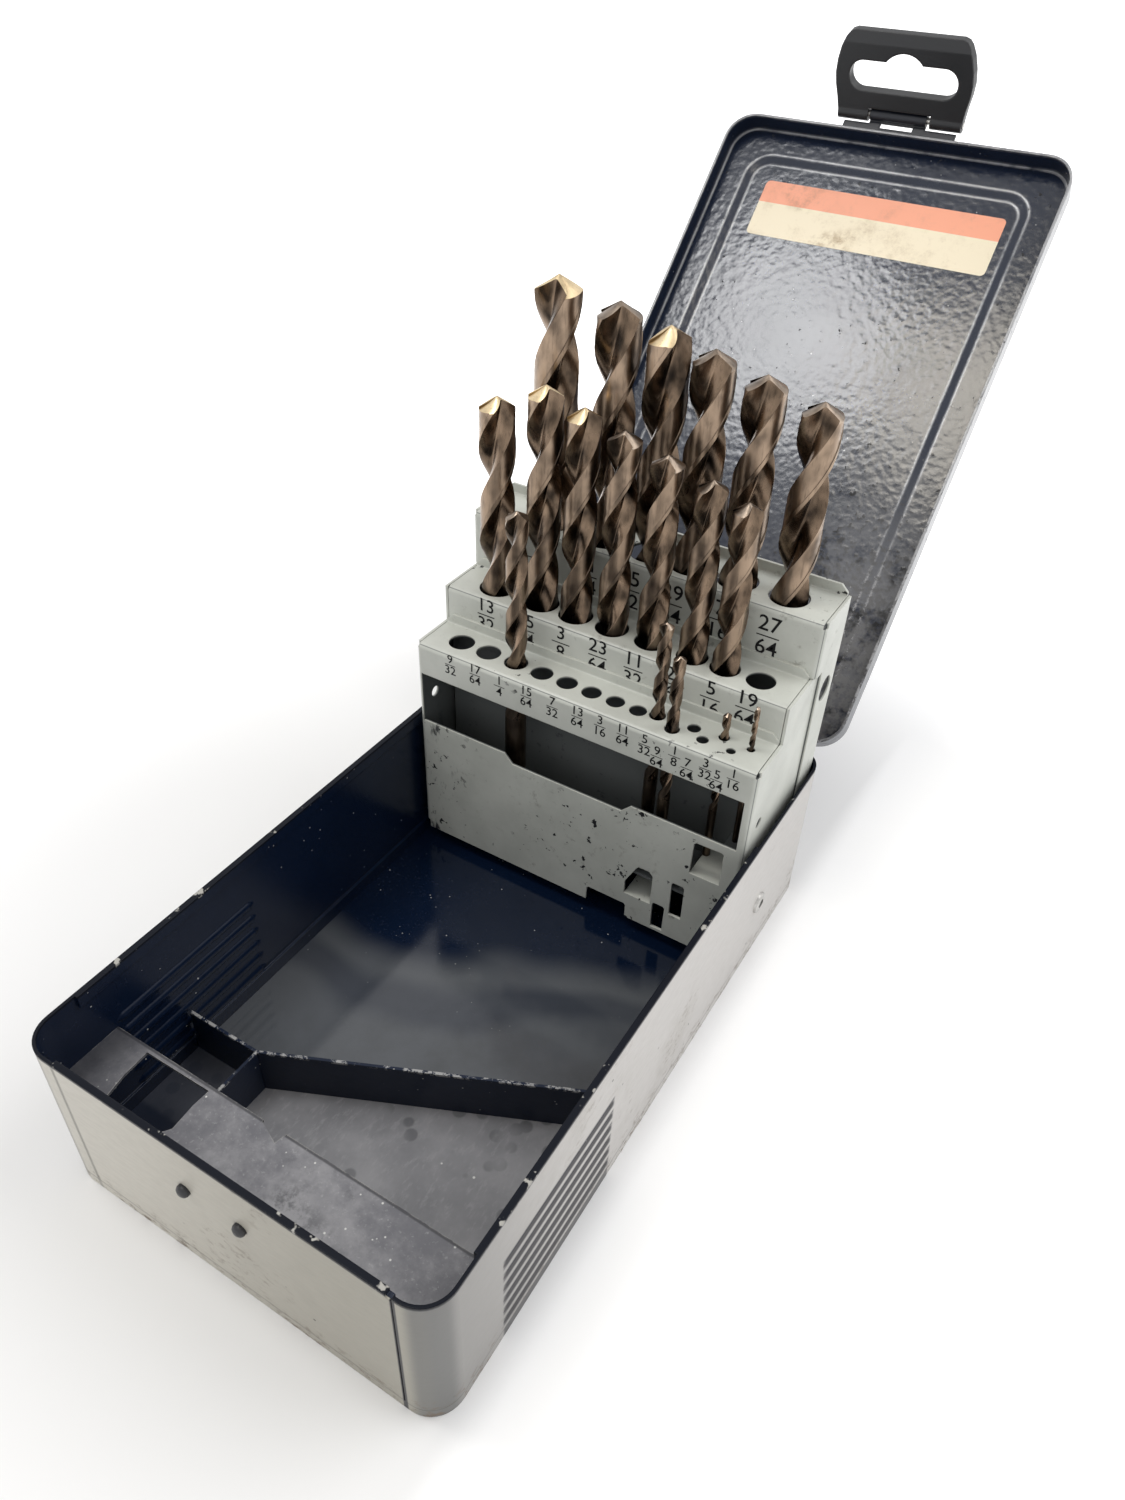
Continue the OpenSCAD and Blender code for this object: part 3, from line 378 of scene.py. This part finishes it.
def strip_look():
    """The tip stop and its cross wall: deep navy with the paint knocked off along the top edge."""
    look = Look("strip_paint", specular=0.25)
    top = look.step(look.axis("Z"), STOP_TOP - 0.9 * MM, STOP_TOP - 0.5 * MM)
    chips = look.times(top, look.step(look.noise(260, 5, 0.8), 0.50, 0.57))
    colour = look.mix(chips, navy_colour(look, 0.1), (0.34, 0.34, 0.34))
    return look.finish(colour, look.blend(chips, 0.30, 0.5), [(look.noise(300, 3), 0.2, 0.3 * MM)])


def shelf_look():
    """Scuffed, stained grey paint with a dark left end and a dark line along the free edge."""
    look = Look("shelf_paint", specular=0.35)
    cloud = look.noise(40, 6, 0.7)
    colour = look.mix(look.step(cloud, 0.36, 0.64), (0.13, 0.13, 0.145), (0.275, 0.272, 0.285))
    stained = look.step(look.noise(38, 2), 0.50, 0.60)
    stain = look.times(look.step(look.noise(110, 6, 0.78), 0.49, 0.62), stained)
    colour = look.mix(look.times(stain, 0.7), colour, (0.05, 0.052, 0.058))
    grit = look.step(look.noise(900, 4, 0.75), 0.56, 0.7)
    colour = look.mix(look.times(grit, 0.35), colour, (0.42, 0.42, 0.42))
    colour = look.mix(flecks(look, 420, 0.14, 60), colour, (0.62, 0.62, 0.60))
    edge_line = look.step(look.axis("Y"), SHELF_Y - 0.9 * MM, SHELF_Y - 0.5 * MM)
    colour = look.mix(look.times(edge_line, 0.8), colour, (0.03, 0.03, 0.035))
    dark_end = look.step(look.axis("X"), -38 * MM, -54 * MM)
    colour = look.mix(look.times(dark_end, 0.75), colour, (0.02, 0.022, 0.032))
    worn = look.times(look.edges(0.4 * MM), look.step(look.noise(200, 4, 0.7), 0.42, 0.56))
    colour = look.mix(worn, colour, (0.36, 0.35, 0.33))
    return look.finish(colour, look.blend(cloud, 0.42, 0.62), [(cloud, 0.25, 0.5 * MM)])


def rack_look(name, face, top, side, low=0.0, tabs=False):
    """Pale enamel with painted shade, dark grey, on the faces turned into the rack: behind face, under top and all
    below low.
    """
    look = Look(name, specular=0.45)
    y, z = look.axis("Y"), look.axis("Z")
    behind = look.step(y, face + 0.3 * MM, face + 0.5 * MM)
    under = look.step(z, top - 0.3 * MM, top - 0.5 * MM)
    within = look.step(look.size(look.axis("X")), side - 0.3 * MM, side - 0.5 * MM)
    # Painted shade on the faces turned into the rack.
    dark = look.times(behind, under)
    if low:
        dark = look.most(dark, look.step(z, low - 0.2 * MM, low - 0.5 * MM))
    dark = look.times(dark, within)
    if tabs:
        normal = look.add("ShaderNodeNewGeometry").outputs["Normal"]
        up = look.add("ShaderNodeSeparateXYZ", {0: normal}).outputs["Z"]
        tab = look.times(look.step(up, 0.4, 0.6), look.step(z, 41 * MM, 40 * MM))
        dark = look.times(dark, look.minus(1.0, tab))
    cloud = look.noise(45, 5, 0.62)
    colour = look.mix(look.step(cloud, 0.3, 0.7), (0.62, 0.635, 0.585), (0.52, 0.535, 0.49))
    grimy = look.step(look.noise(30, 3), 0.48, 0.62)
    grime = look.times(look.step(look.noise(260, 6, 0.75), 0.56, 0.70), grimy)
    colour = look.mix(look.times(grime, 0.5), colour, (0.20, 0.19, 0.16))
    # Painted highlight: paler enamel along the edges.
    edge = look.times(look.edges(0.35 * MM), look.step(look.noise(140, 3), 0.40, 0.55))
    colour = look.mix(look.times(edge, 0.6), colour, (0.78, 0.76, 0.66))
    where = look.step(look.noise(24, 2), 0.54, 0.60)
    if tabs:
        outer = look.step(look.size(look.axis("X")), 30 * MM, 48 * MM)
        corner = look.times(look.step(z, 52 * MM, 38 * MM), outer)
        where = look.most(where, corner)
    chips = look.times(look.step(look.noise(330, 3, 0.6), 0.645, 0.67), where)
    colour = look.mix(chips, colour, (0.012, 0.012, 0.014))
    if tabs:
        runs = look.step(look.noise(170, 5, 0.75, at=look.stretched((1.0, 1.0, 0.4))), 0.55, 0.66)
        end = look.times(look.step(look.axis("X"), -36 * MM, -52 * MM), look.step(z, 62 * MM, 50 * MM))
        colour = look.mix(look.times(runs, end), colour, (0.02, 0.022, 0.028))
    # Painted shade: dark grey on the faces inside the rack.
    colour = look.mix(look.times(dark, 0.93), colour, (0.085, 0.094, 0.098))
    rough = look.blend(cloud, 0.30, 0.46)
    return look.finish(colour, rough, [(look.noise(900, 2), 0.08, 0.15 * MM)], round_edges=0.25 * MM)


def steel_look(name, tint, roughness):
    """Bare steel with darker patches of dirt."""
    look = Look(name, metallic=1.0)
    dirt = look.noise(500, 5, 0.7)
    colour = look.mix(look.step(dirt, 0.45, 0.75), tint, tuple(0.35 * c for c in tint))
    return look.finish(colour, look.blend(dirt, roughness, roughness + 0.2), [(dirt, 0.1, 0.1 * MM)])


def plastic_look(name, low, high):
    """Black satin plastic or paint, a little paler along its edges."""
    look = Look(name, specular=0.5)
    cloud = look.noise(60, 4)
    colour = look.mix(cloud, low, high)
    worn = look.times(look.edges(0.6 * MM), 0.5)
    colour = look.mix(worn, colour, (0.10, 0.10, 0.105))
    grain = look.noise(1500, 3, 0.6)
    rough = look.blend(cloud, 0.34, 0.5)
    return look.finish(colour, rough, [(grain, 0.15, 0.1 * MM)], round_edges=0.8 * MM)


def drill_look(name, dark, light, roughness):
    """Bronze-brown oxide on steel with grinding marks, painted shade down in the flutes and soft blotches of
    painted reflection.
    """
    look = Look(name, metallic=1.0)
    # Painted shade: ambient occlusion darkens the hollows of the flutes.
    open_sky = look.add("ShaderNodeAmbientOcclusion", {"Distance": 5 * MM}, samples=8).outputs["AO"]
    # Soft blotches of painted reflection, which also vary the roughness.
    smudge = look.noise(230, 2, 0.4, at=look.stretched((1.0, 1.0, 0.7)))
    marks = look.noise(1400, 3, 0.6, at=look.stretched((1.0, 1.0, 0.12)))
    shade = look.plus(look.times(open_sky, 0.55), look.times(smudge, 0.9))
    colour = look.mix(look.step(shade, 0.62, 1.16), dark, light)
    colour = look.mix(look.times(look.step(marks, 0.5, 0.7), 0.35), colour, dark)
    rough = look.blend(smudge, roughness, roughness + 0.12)
    return look.finish(colour, rough, [(marks, 0.10, 0.1 * MM)])


def sticker_look(name, paper, dirt_colour):
    """Printed paper with smeared dirt."""
    look = Look(name, specular=0.4)
    patches = look.step(look.noise(45, 3), 0.44, 0.60)
    dirt = look.times(look.step(look.noise(160, 6, 0.75), 0.46, 0.70), patches)
    dirt = look.most(dirt, look.times(look.step(look.noise(60, 6, 0.8), 0.50, 0.70), 0.45))
    colour = look.mix(look.times(dirt, 0.75), paper, dirt_colour)
    return look.finish(colour, look.blend(dirt, 0.35, 0.6), [(look.noise(300, 3), 0.1, 0.1 * MM)])


def ink_look():
    """Black print, worn pale in places."""
    look = Look("number_ink", specular=0.2)
    wear = look.step(look.noise(1200, 4, 0.7), 0.64, 0.78)
    colour = look.mix(wear, (0.008, 0.008, 0.009), (0.12, 0.12, 0.115))
    return look.finish(colour, look.blend(wear, 0.6, 0.7))


def floor_look():
    """White paper that keeps the shadow round the object, lifted on its right by a painted glow, and goes to plain
    white away from it.
    """
    look = Look("floor", roughness=0.9, specular=0.0)
    grain = look.noise(6, 2)
    paper = look.mix(grain, (0.88, 0.88, 0.885), (0.90, 0.90, 0.90))
    away = look.vector("LENGTH", look.place)
    # Painted light: the floor right of the tray glows a little for camera and glossy rays, lifting the shadow
    # there.
    beside = look.times(look.step(look.axis("X"), half_w - MM, half_w + 9 * MM), 0.20)
    glow = look.most(look.step(away, 0.13, 0.40), beside)
    glow = look.times(glow, straight_rays(look.tree))
    look.shader.inputs["Emission Color"].default_value = (1, 1, 1, 1)
    look.give(look.shader.inputs["Emission Strength"], glow)
    return look.finish(paper, look.blend(grain, 0.88, 0.94))


# Stage and light


def make_stage():
    mesh = bpy.data.meshes.new("floor")
    reach = 6.0
    corners = [(sx * reach, sy * reach, 0) for sx, sy in ((-1, -1), (1, -1), (1, 1), (-1, 1))]
    mesh.from_pydata(corners, [], [(0, 1, 2, 3)])
    floor = bpy.data.objects.new("floor", mesh)
    floor.location.z = -0.05 * MM
    mesh.materials.append(floor_look())
    bpy.context.scene.collection.objects.link(floor)


def area_light(name, at, target, size, power, colour=(1, 1, 1)):
    data = bpy.data.lights.new(name, "AREA")
    data.color = colour
    data.shape, data.size, data.energy = "DISK", size, power
    lamp = bpy.data.objects.new(name, data)
    lamp.location = at
    lamp.rotation_mode = "QUATERNION"
    lamp.rotation_quaternion = (Vector(target) - Vector(at)).to_track_quat("-Z", "Y")
    bpy.context.scene.collection.objects.link(lamp)


def straight_rays(tree):
    """1 for the rays that show a background: camera, glossy and transmission."""
    path = tree.nodes.new("ShaderNodeLightPath")
    total = path.outputs["Is Camera Ray"]
    for name in ("Is Glossy Ray", "Is Transmission Ray"):
        either = tree.nodes.new("ShaderNodeMath")
        either.operation = "MAXIMUM"
        tree.links.new(total, either.inputs[0])
        tree.links.new(path.outputs[name], either.inputs[1])
        total = either.outputs[0]
    return total


def make_light():
    world = bpy.data.worlds.new("studio")
    bpy.context.scene.world = world
    world.use_nodes = True
    tree = world.node_tree
    back = tree.nodes["Background"]
    back.inputs["Color"].default_value = (1, 1, 1, 1)
    level = tree.nodes.new("ShaderNodeMix")
    tree.links.new(straight_rays(tree), level.inputs[0])
    level.inputs[2].default_value, level.inputs[3].default_value = 0.70, 1.0
    tree.links.new(level.outputs[0], back.inputs["Strength"])
    area_light("key", (-0.32, -0.10, 1.0), (0, 0.14, 0.10), 0.24, 1.9)
    area_light("warm", (-0.12, -0.14, 1.02), (0, 0.16, 0.10), 0.20, 1.0, (1.0, 0.93, 0.80))
    area_light("back", (0.65, 0.50, 1.0), (0, 0, 0.05), 0.90, 5.0)
    bpy.context.scene.view_settings.view_transform = "Standard"


# Mesh helpers


def new_piece(name, points, faces, body, materials, face_slots=None, smooth_angle=None):
    """A mesh object with the given materials, riding on a body."""
    mesh = bpy.data.meshes.new(name)
    mesh.from_pydata(points, [], faces)
    for material in materials:
        mesh.materials.append(material)
    if face_slots:
        mesh.polygons.foreach_set("material_index", face_slots)
    if smooth_angle:
        mesh.shade_smooth()
        mesh.set_sharp_from_angle(angle=math.radians(smooth_angle))
    mesh.update()
    piece = bpy.data.objects.new(name, mesh)
    bpy.context.scene.collection.objects.link(piece)
    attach(piece, body)
    return piece


# Drills: one fine mesh each in place of the frame's coarse one

# Rise of a flute in one turn, as a share of the drill's diameter
HELIX_PITCH = 5.4
POINT_ANGLE = math.radians(118)
# Half of the cross-section: angle in degrees and radius as a share of the drill's. The land runs from
# -75 to 0 degrees with its raised margin at the leading edge, and the flute from there to 105.
LAND = [(a, 0.96) for a in (-75, -63, -51, -39, -27, -15)]
LAND += [(-12, 0.965), (-11, 1.0), (-5, 1.0), (0, 1.0)]
FLUTE = [(3, 0.9), (6, 0.8), (10, 0.65), (14, 0.52), (20, 0.41), (26, 0.33), (35, 0.28), (45, 0.26)]
FLUTE += [(54, 0.27), (62, 0.30), (70, 0.35), (78, 0.42), (84, 0.5), (90, 0.6), (95, 0.7)]
FLUTE += [(99, 0.8), (102, 0.89), (104, 0.95)]
HALF = LAND + FLUTE
SECTION = HALF + [(a + 180, r) for a, r in HALF]
# Fall of the point's flanks behind the cutting edges, as a share of the radius
FLANK_RELIEF = 0.16
# Gap under a drill's foot. With none, the clash test lists drills whose foot and rest share a plane.
FOOT_GAP = 0.03 * MM

# The row that each drill stands in and the turn of its point about its own axis, in degrees
DRILLS = {
    "drill_1_2": ("back", 36),
    "drill_31_64": ("back", 72),
    "drill_15_32": ("back", 122),
    "drill_29_64": ("back", 60),
    "drill_7_16": ("back", 60),
    "drill_27_64": ("back", 55),
    "drill_13_32": ("middle", 112),
    "drill_25_64": ("middle", 100),
    "drill_3_8": ("middle", 108),
    "drill_23_64": ("middle", 40),
    "drill_11_32": ("middle", 40),
    "drill_21_64": ("middle", 78),
    "drill_5_16": ("middle", 98),
    "drill_1_4": ("front", 70),
    "drill_5_32": ("front", 30),
    "drill_9_64": ("front", 70),
    "drill_3_32": ("front", 110),
    "drill_1_16": ("front", 150),
}
# Drills whose points are freshly ground and shine gold
GROUND_POINTS = {"drill_1_2", "drill_15_32", "drill_13_32", "drill_25_64", "drill_3_8"}


def flute_length(row, size, length):
    """Length of the flutes. A middle row's drill has the plain shank of a standard one of its size."""
    if row == "back":
        return 0.75 * length
    if row == "front":
        return 0.66 * length
    jobber = INCH * (6 - (32 - size * 64 / INCH) / 8)
    return length - 0.27 * jobber


def make_drill(name, row, turn, looks):
    """A plain shank, two right-handed flutes and a ground point, as rings joined by faces."""
    low, high = (Vector(corner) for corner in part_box(name))
    low.z += FOOT_GAP
    above, below = name.split("_")[1:]
    size = INCH * int(above) / int(below)
    r, length = size / 2, high.z - low.z
    centre = (low + high) / 2
    fluted = flute_length(row, size, length)
    start, tip = length - fluted, r / math.tan(POINT_ANGLE / 2)
    turns = (fluted - tip) / (HELIX_PITCH * size)
    rings = max(24, round(turns * 26))
    count = len(SECTION)

    def ring(z_of, scale, cut):
        points = []
        for angle, share in SECTION:
            radius = (1 + (share - 1) * cut) * r * scale
            z = z_of(angle, share)
            twist = (max(start, z) - length + tip) / (HELIX_PITCH * size) * 360
            a = math.radians(angle + turn + twist)
            points.append((centre.x + radius * math.cos(a), centre.y + radius * math.sin(a), low.z + z))
        return points

    def point_z(share, angle, scale):
        lead = angle % 180
        behind = (180 - lead) / 75 if lead > 104 else 0.0
        return length - share * scale * tip - FLANK_RELIEF * r * behind * scale

    layers = [(ring(lambda a, s: 0.0, 0.86, 0), 0), (ring(lambda a, s: 0.14 * r, 1, 0), 0)]
    for k in range(1, 6):
        layers.append((ring(lambda a, s: start * k / 5, 1, 0), 0))
    for k in range(1, rings + 1):
        z = start + (fluted - tip - 0.12 * r) * k / rings
        run = min(1.0, (z - start) / (1.3 * size))
        layers.append((ring(lambda a, s: z, 1, run * run * (3 - 2 * run)), 1))
    for scale in (1.0, 0.72, 0.45, 0.2):
        layers.append((ring(lambda a, s: point_z(s, a, scale), scale, 1), 2 if scale < 1 else 1))
    points = [(centre.x, centre.y, low.z)]
    points += [point for layer, _ in layers for point in layer]
    points += [(centre.x, centre.y, high.z)]
    faces, face_slots = [], []
    for i in range(count):
        faces.append((0, 1 + (i + 1) % count, 1 + i))
        face_slots.append(0)
    for k, (_, zone) in enumerate(layers[1:]):
        for i in range(count):
            j = (i + 1) % count
            a, b = 1 + k * count, 1 + (k + 1) * count
            faces.append((a + i, a + j, b + j, b + i))
            land = i % len(HALF) < len(LAND) - 1
            face_slots.append((0, 2 if land else 1, 3)[zone])
    top = 1 + (len(layers) - 1) * count
    for i in range(count):
        faces.append((top + i, top + (i + 1) % count, top + count))
        face_slots.append(3)
    fine = name + "_fine"
    piece = new_piece(fine, points, faces, name, looks, face_slots, smooth_angle=34)
    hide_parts(name)


def make_drills():
    shank = drill_look("drill_shank", (0.05, 0.037, 0.029), (0.20, 0.148, 0.108), 0.26)
    flute = drill_look("drill_flute", (0.010, 0.008, 0.007), (0.24, 0.17, 0.118), 0.20)
    land = drill_look("drill_land", (0.040, 0.030, 0.024), (0.30, 0.222, 0.160), 0.26)
    ground = drill_look("drill_point_ground", (0.30, 0.22, 0.13), (0.80, 0.64, 0.40), 0.26)
    dull = drill_look("drill_point_dull", (0.045, 0.035, 0.028), (0.30, 0.24, 0.19), 0.24)
    for name, (row, turn) in DRILLS.items():
        looks = [shank, flute, land, ground if name in GROUND_POINTS else dull]
        make_drill(name, row, turn, looks)


# Size numbers printed on the rack beside its holes

# How far the print stands off the paint
PRINT = 0.03 * MM
# Each label's words, its centre across the rack and the height of its numerator's middle, in mm
FRONT_LABELS = [
    ("9/32", -42.8, 77.0), ("17/64", -34.0, 77.0), ("1/4", -25.5, 76.3), ("15/64", -16.3, 76.4),
    ("7/32", -7.6, 76.4), ("13/64", 0.6, 76.4), ("3/16", 7.9, 76.4), ("11/64", 15.1, 76.4),
    ("5/32", 21.9, 76.0), ("9/64", 25.9, 73.7), ("1/8", 31.0, 76.1), ("7/64", 35.0, 73.7),
    ("3/32", 40.2, 76.0), ("5/64", 43.8, 73.7), ("1/16", 48.3, 76.1),
]
MIDDLE_LABELS = [
    ("13/32", -40.5, 88.1), ("25/64", -26.6, 88.1), ("3/8", -14.6, 88.1), ("23/64", -2.4, 88.1),
    ("11/32", 9.1, 88.1), ("21/64", 22.0, 88.1), ("5/16", 32.8, 88.0), ("19/64", 43.2, 88.8),
]
BACK_LABELS = [
    ("1/2", -33.1, 102.6), ("31/64", -16.0, 102.6), ("15/32", -2.0, 102.6), ("29/64", 11.5, 102.6),
    ("7/16", 26.0, 102.6), ("27/64", 40.6, 102.6),
]


def text_mesh(words, size):
    """The words as a flat mesh, centred on the origin."""
    curve = bpy.data.curves.new("words", "FONT")
    curve.body, curve.size = words, size
    curve.align_x, curve.align_y = "CENTER", "CENTER"
    curve.resolution_u = 3
    curve.offset = 0.006 * size
    holder = bpy.data.objects.new("words", curve)
    mesh = holder.to_mesh().copy()
    bpy.data.objects.remove(holder)
    bpy.data.curves.remove(curve)
    return mesh


def make_numbers(name, labels, face_y, size, drop, bar):
    """Stacked fractions just proud of an upright face: numerator, bar and denominator."""
    joined = bmesh.new()
    for words, x, z in labels:
        for part, height in zip(words.split("/"), (z, z - drop)):
            mesh = text_mesh(part, size * MM)
            upright = Matrix.Rotation(math.pi / 2, 4, "X")
            mesh.transform(Matrix.Translation((x * MM, face_y, height * MM)) @ upright)
            joined.from_mesh(mesh)
            bpy.data.meshes.remove(mesh)
        middle, wide, thick = (z - drop / 2) * MM, bar / 2 * MM, 0.028 * size * MM
        corners = ((-1, -1), (1, -1), (1, 1), (-1, 1))
        corners = [(x * MM + sx * wide, face_y, middle + sz * thick) for sx, sz in corners]
        joined.faces.new([joined.verts.new(corner) for corner in corners])
    mesh = bpy.data.meshes.new(name)
    joined.to_mesh(mesh)
    joined.free()
    mesh.materials.append(ink)
    piece = bpy.data.objects.new(name, mesh)
    bpy.context.scene.collection.objects.link(piece)
    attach(piece, "rack")


# Bare two-tone sticker on the lid's inner face

# Height of the pressed middle's inner face with the lid shut, and how far the paper stands off it
LID_INSIDE_Z, PAPER = 57.1 * MM, 0.06 * MM


def make_sticker():
    left, right, near, far = -40.4 * MM, 43.3 * MM, 163.7 * MM, 184 * MM
    band_from, corner, steps = 176.0 * MM, 1.6 * MM, 5
    inner_z = LID_INSIDE_Z - PAPER

    def rounded(y0, y1, round_low, round_high):
        outline = []
        for cx, cy, a0, is_round in (
            (right, y0, -90, round_low),
            (right, y1, 0, round_high),
            (left, y1, 90, round_high),
            (left, y0, 180, round_low),
        ):
            if not is_round:
                outline.append((cx, cy))
                continue
            mx, my = cx - math.copysign(corner, cx), cy + (corner if cy == y0 else -corner)
            for i in range(steps + 1):
                a = math.radians(a0 + 90 * i / steps)
                outline.append((mx + corner * math.cos(a), my + corner * math.sin(a)))
        return outline

    paper = ("sticker_paper", (0.84, 0.74, 0.55), (0.40, 0.29, 0.18))
    salmon = ("sticker_salmon", (0.88, 0.36, 0.22), (0.50, 0.28, 0.20))
    for name, s0, s1, look, low, high in (
        ("sticker_lower", near, band_from, paper, True, False),
        ("sticker_band", band_from, far, salmon, False, True),
    ):
        flat = rounded(s0, s1, low, high)
        points = [on_lid((x, hinge_at.y - s, inner_z)) for x, s in flat]
        new_piece(name, points, [list(range(len(points)))], "lid", [sticker_look(*look)])


# Put it together

make_camera()
make_stage()
make_light()

tray_paint, pan_paint, dark_paint = tray_look(), pan_look(), dark_look()
shelf_paint, strip_paint = shelf_look(), strip_look()
# Heights of the rack's three steps
STEP_TOPS = [z * MM for z in (78.5, 90.3, 107.8)]
front_paint = rack_look("rack_front_paint", front_face, STEP_TOPS[0], rack_high.x, tabs=True)
middle_paint = rack_look("rack_middle_paint", middle_face, STEP_TOPS[1], 1.0, low=STEP_TOPS[0])
back_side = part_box("rack_back_bracket")[1][0]
back_paint = rack_look("rack_back_paint", back_face, STEP_TOPS[2], back_side, low=STEP_TOPS[1])
# The pieces wholly inside the rack are dark on every side, a painted shade
rack_shade_paint = rack_look("rack_shaded_paint", 0.0, 1.0, 1.0)
bare_steel = steel_look("bare_steel", (0.55, 0.54, 0.52), 0.3)
hook_plastic = plastic_look("hook_plastic", (0.007, 0.008, 0.010), (0.014, 0.015, 0.018))
tab_paint = plastic_look("tab_paint", (0.004, 0.006, 0.012), (0.012, 0.014, 0.022))
stud_black = plastic_look("stud_black", (0.010, 0.010, 0.013), (0.03, 0.03, 0.034))
ink = ink_look()
SLOT_LOOKS = {
    "tray_paint": tray_paint,
    "dark_paint": dark_paint,
    "shelf_paint": shelf_paint,
    "rack_paint": rack_shade_paint,
    "bare_steel": bare_steel,
    "stud_black": stud_black,
    "hook_plastic": hook_plastic,
    "drill_steel": bare_steel,
}
NODE_LOOKS = {
    "lid_hook_tab": tab_paint,
    "tray_bottom_pan": pan_paint,
    "tip_stop_strip": strip_paint,
    "cross_divider": strip_paint,
    "rack_front_bracket": front_paint,
    "rack_middle_bracket": middle_paint,
    "rack_back_bracket": back_paint,
}
for part in frame["record"]["subparts"]:
    mesh = nodes[part["node"]].data
    mesh.materials.clear()
    mesh.materials.append(NODE_LOOKS.get(part["node"]) or SLOT_LOOKS[part["material_slot"]])

make_drills()
make_numbers("front_numbers", FRONT_LABELS, front_face - PRINT, 4.1, 3.9, 3.7)
make_numbers("middle_numbers", MIDDLE_LABELS, middle_face - PRINT, 6.2, 6.4, 6.0)
make_numbers("back_numbers", BACK_LABELS, back_face - PRINT, 6.7, 7.4, 6.6)
make_sticker()
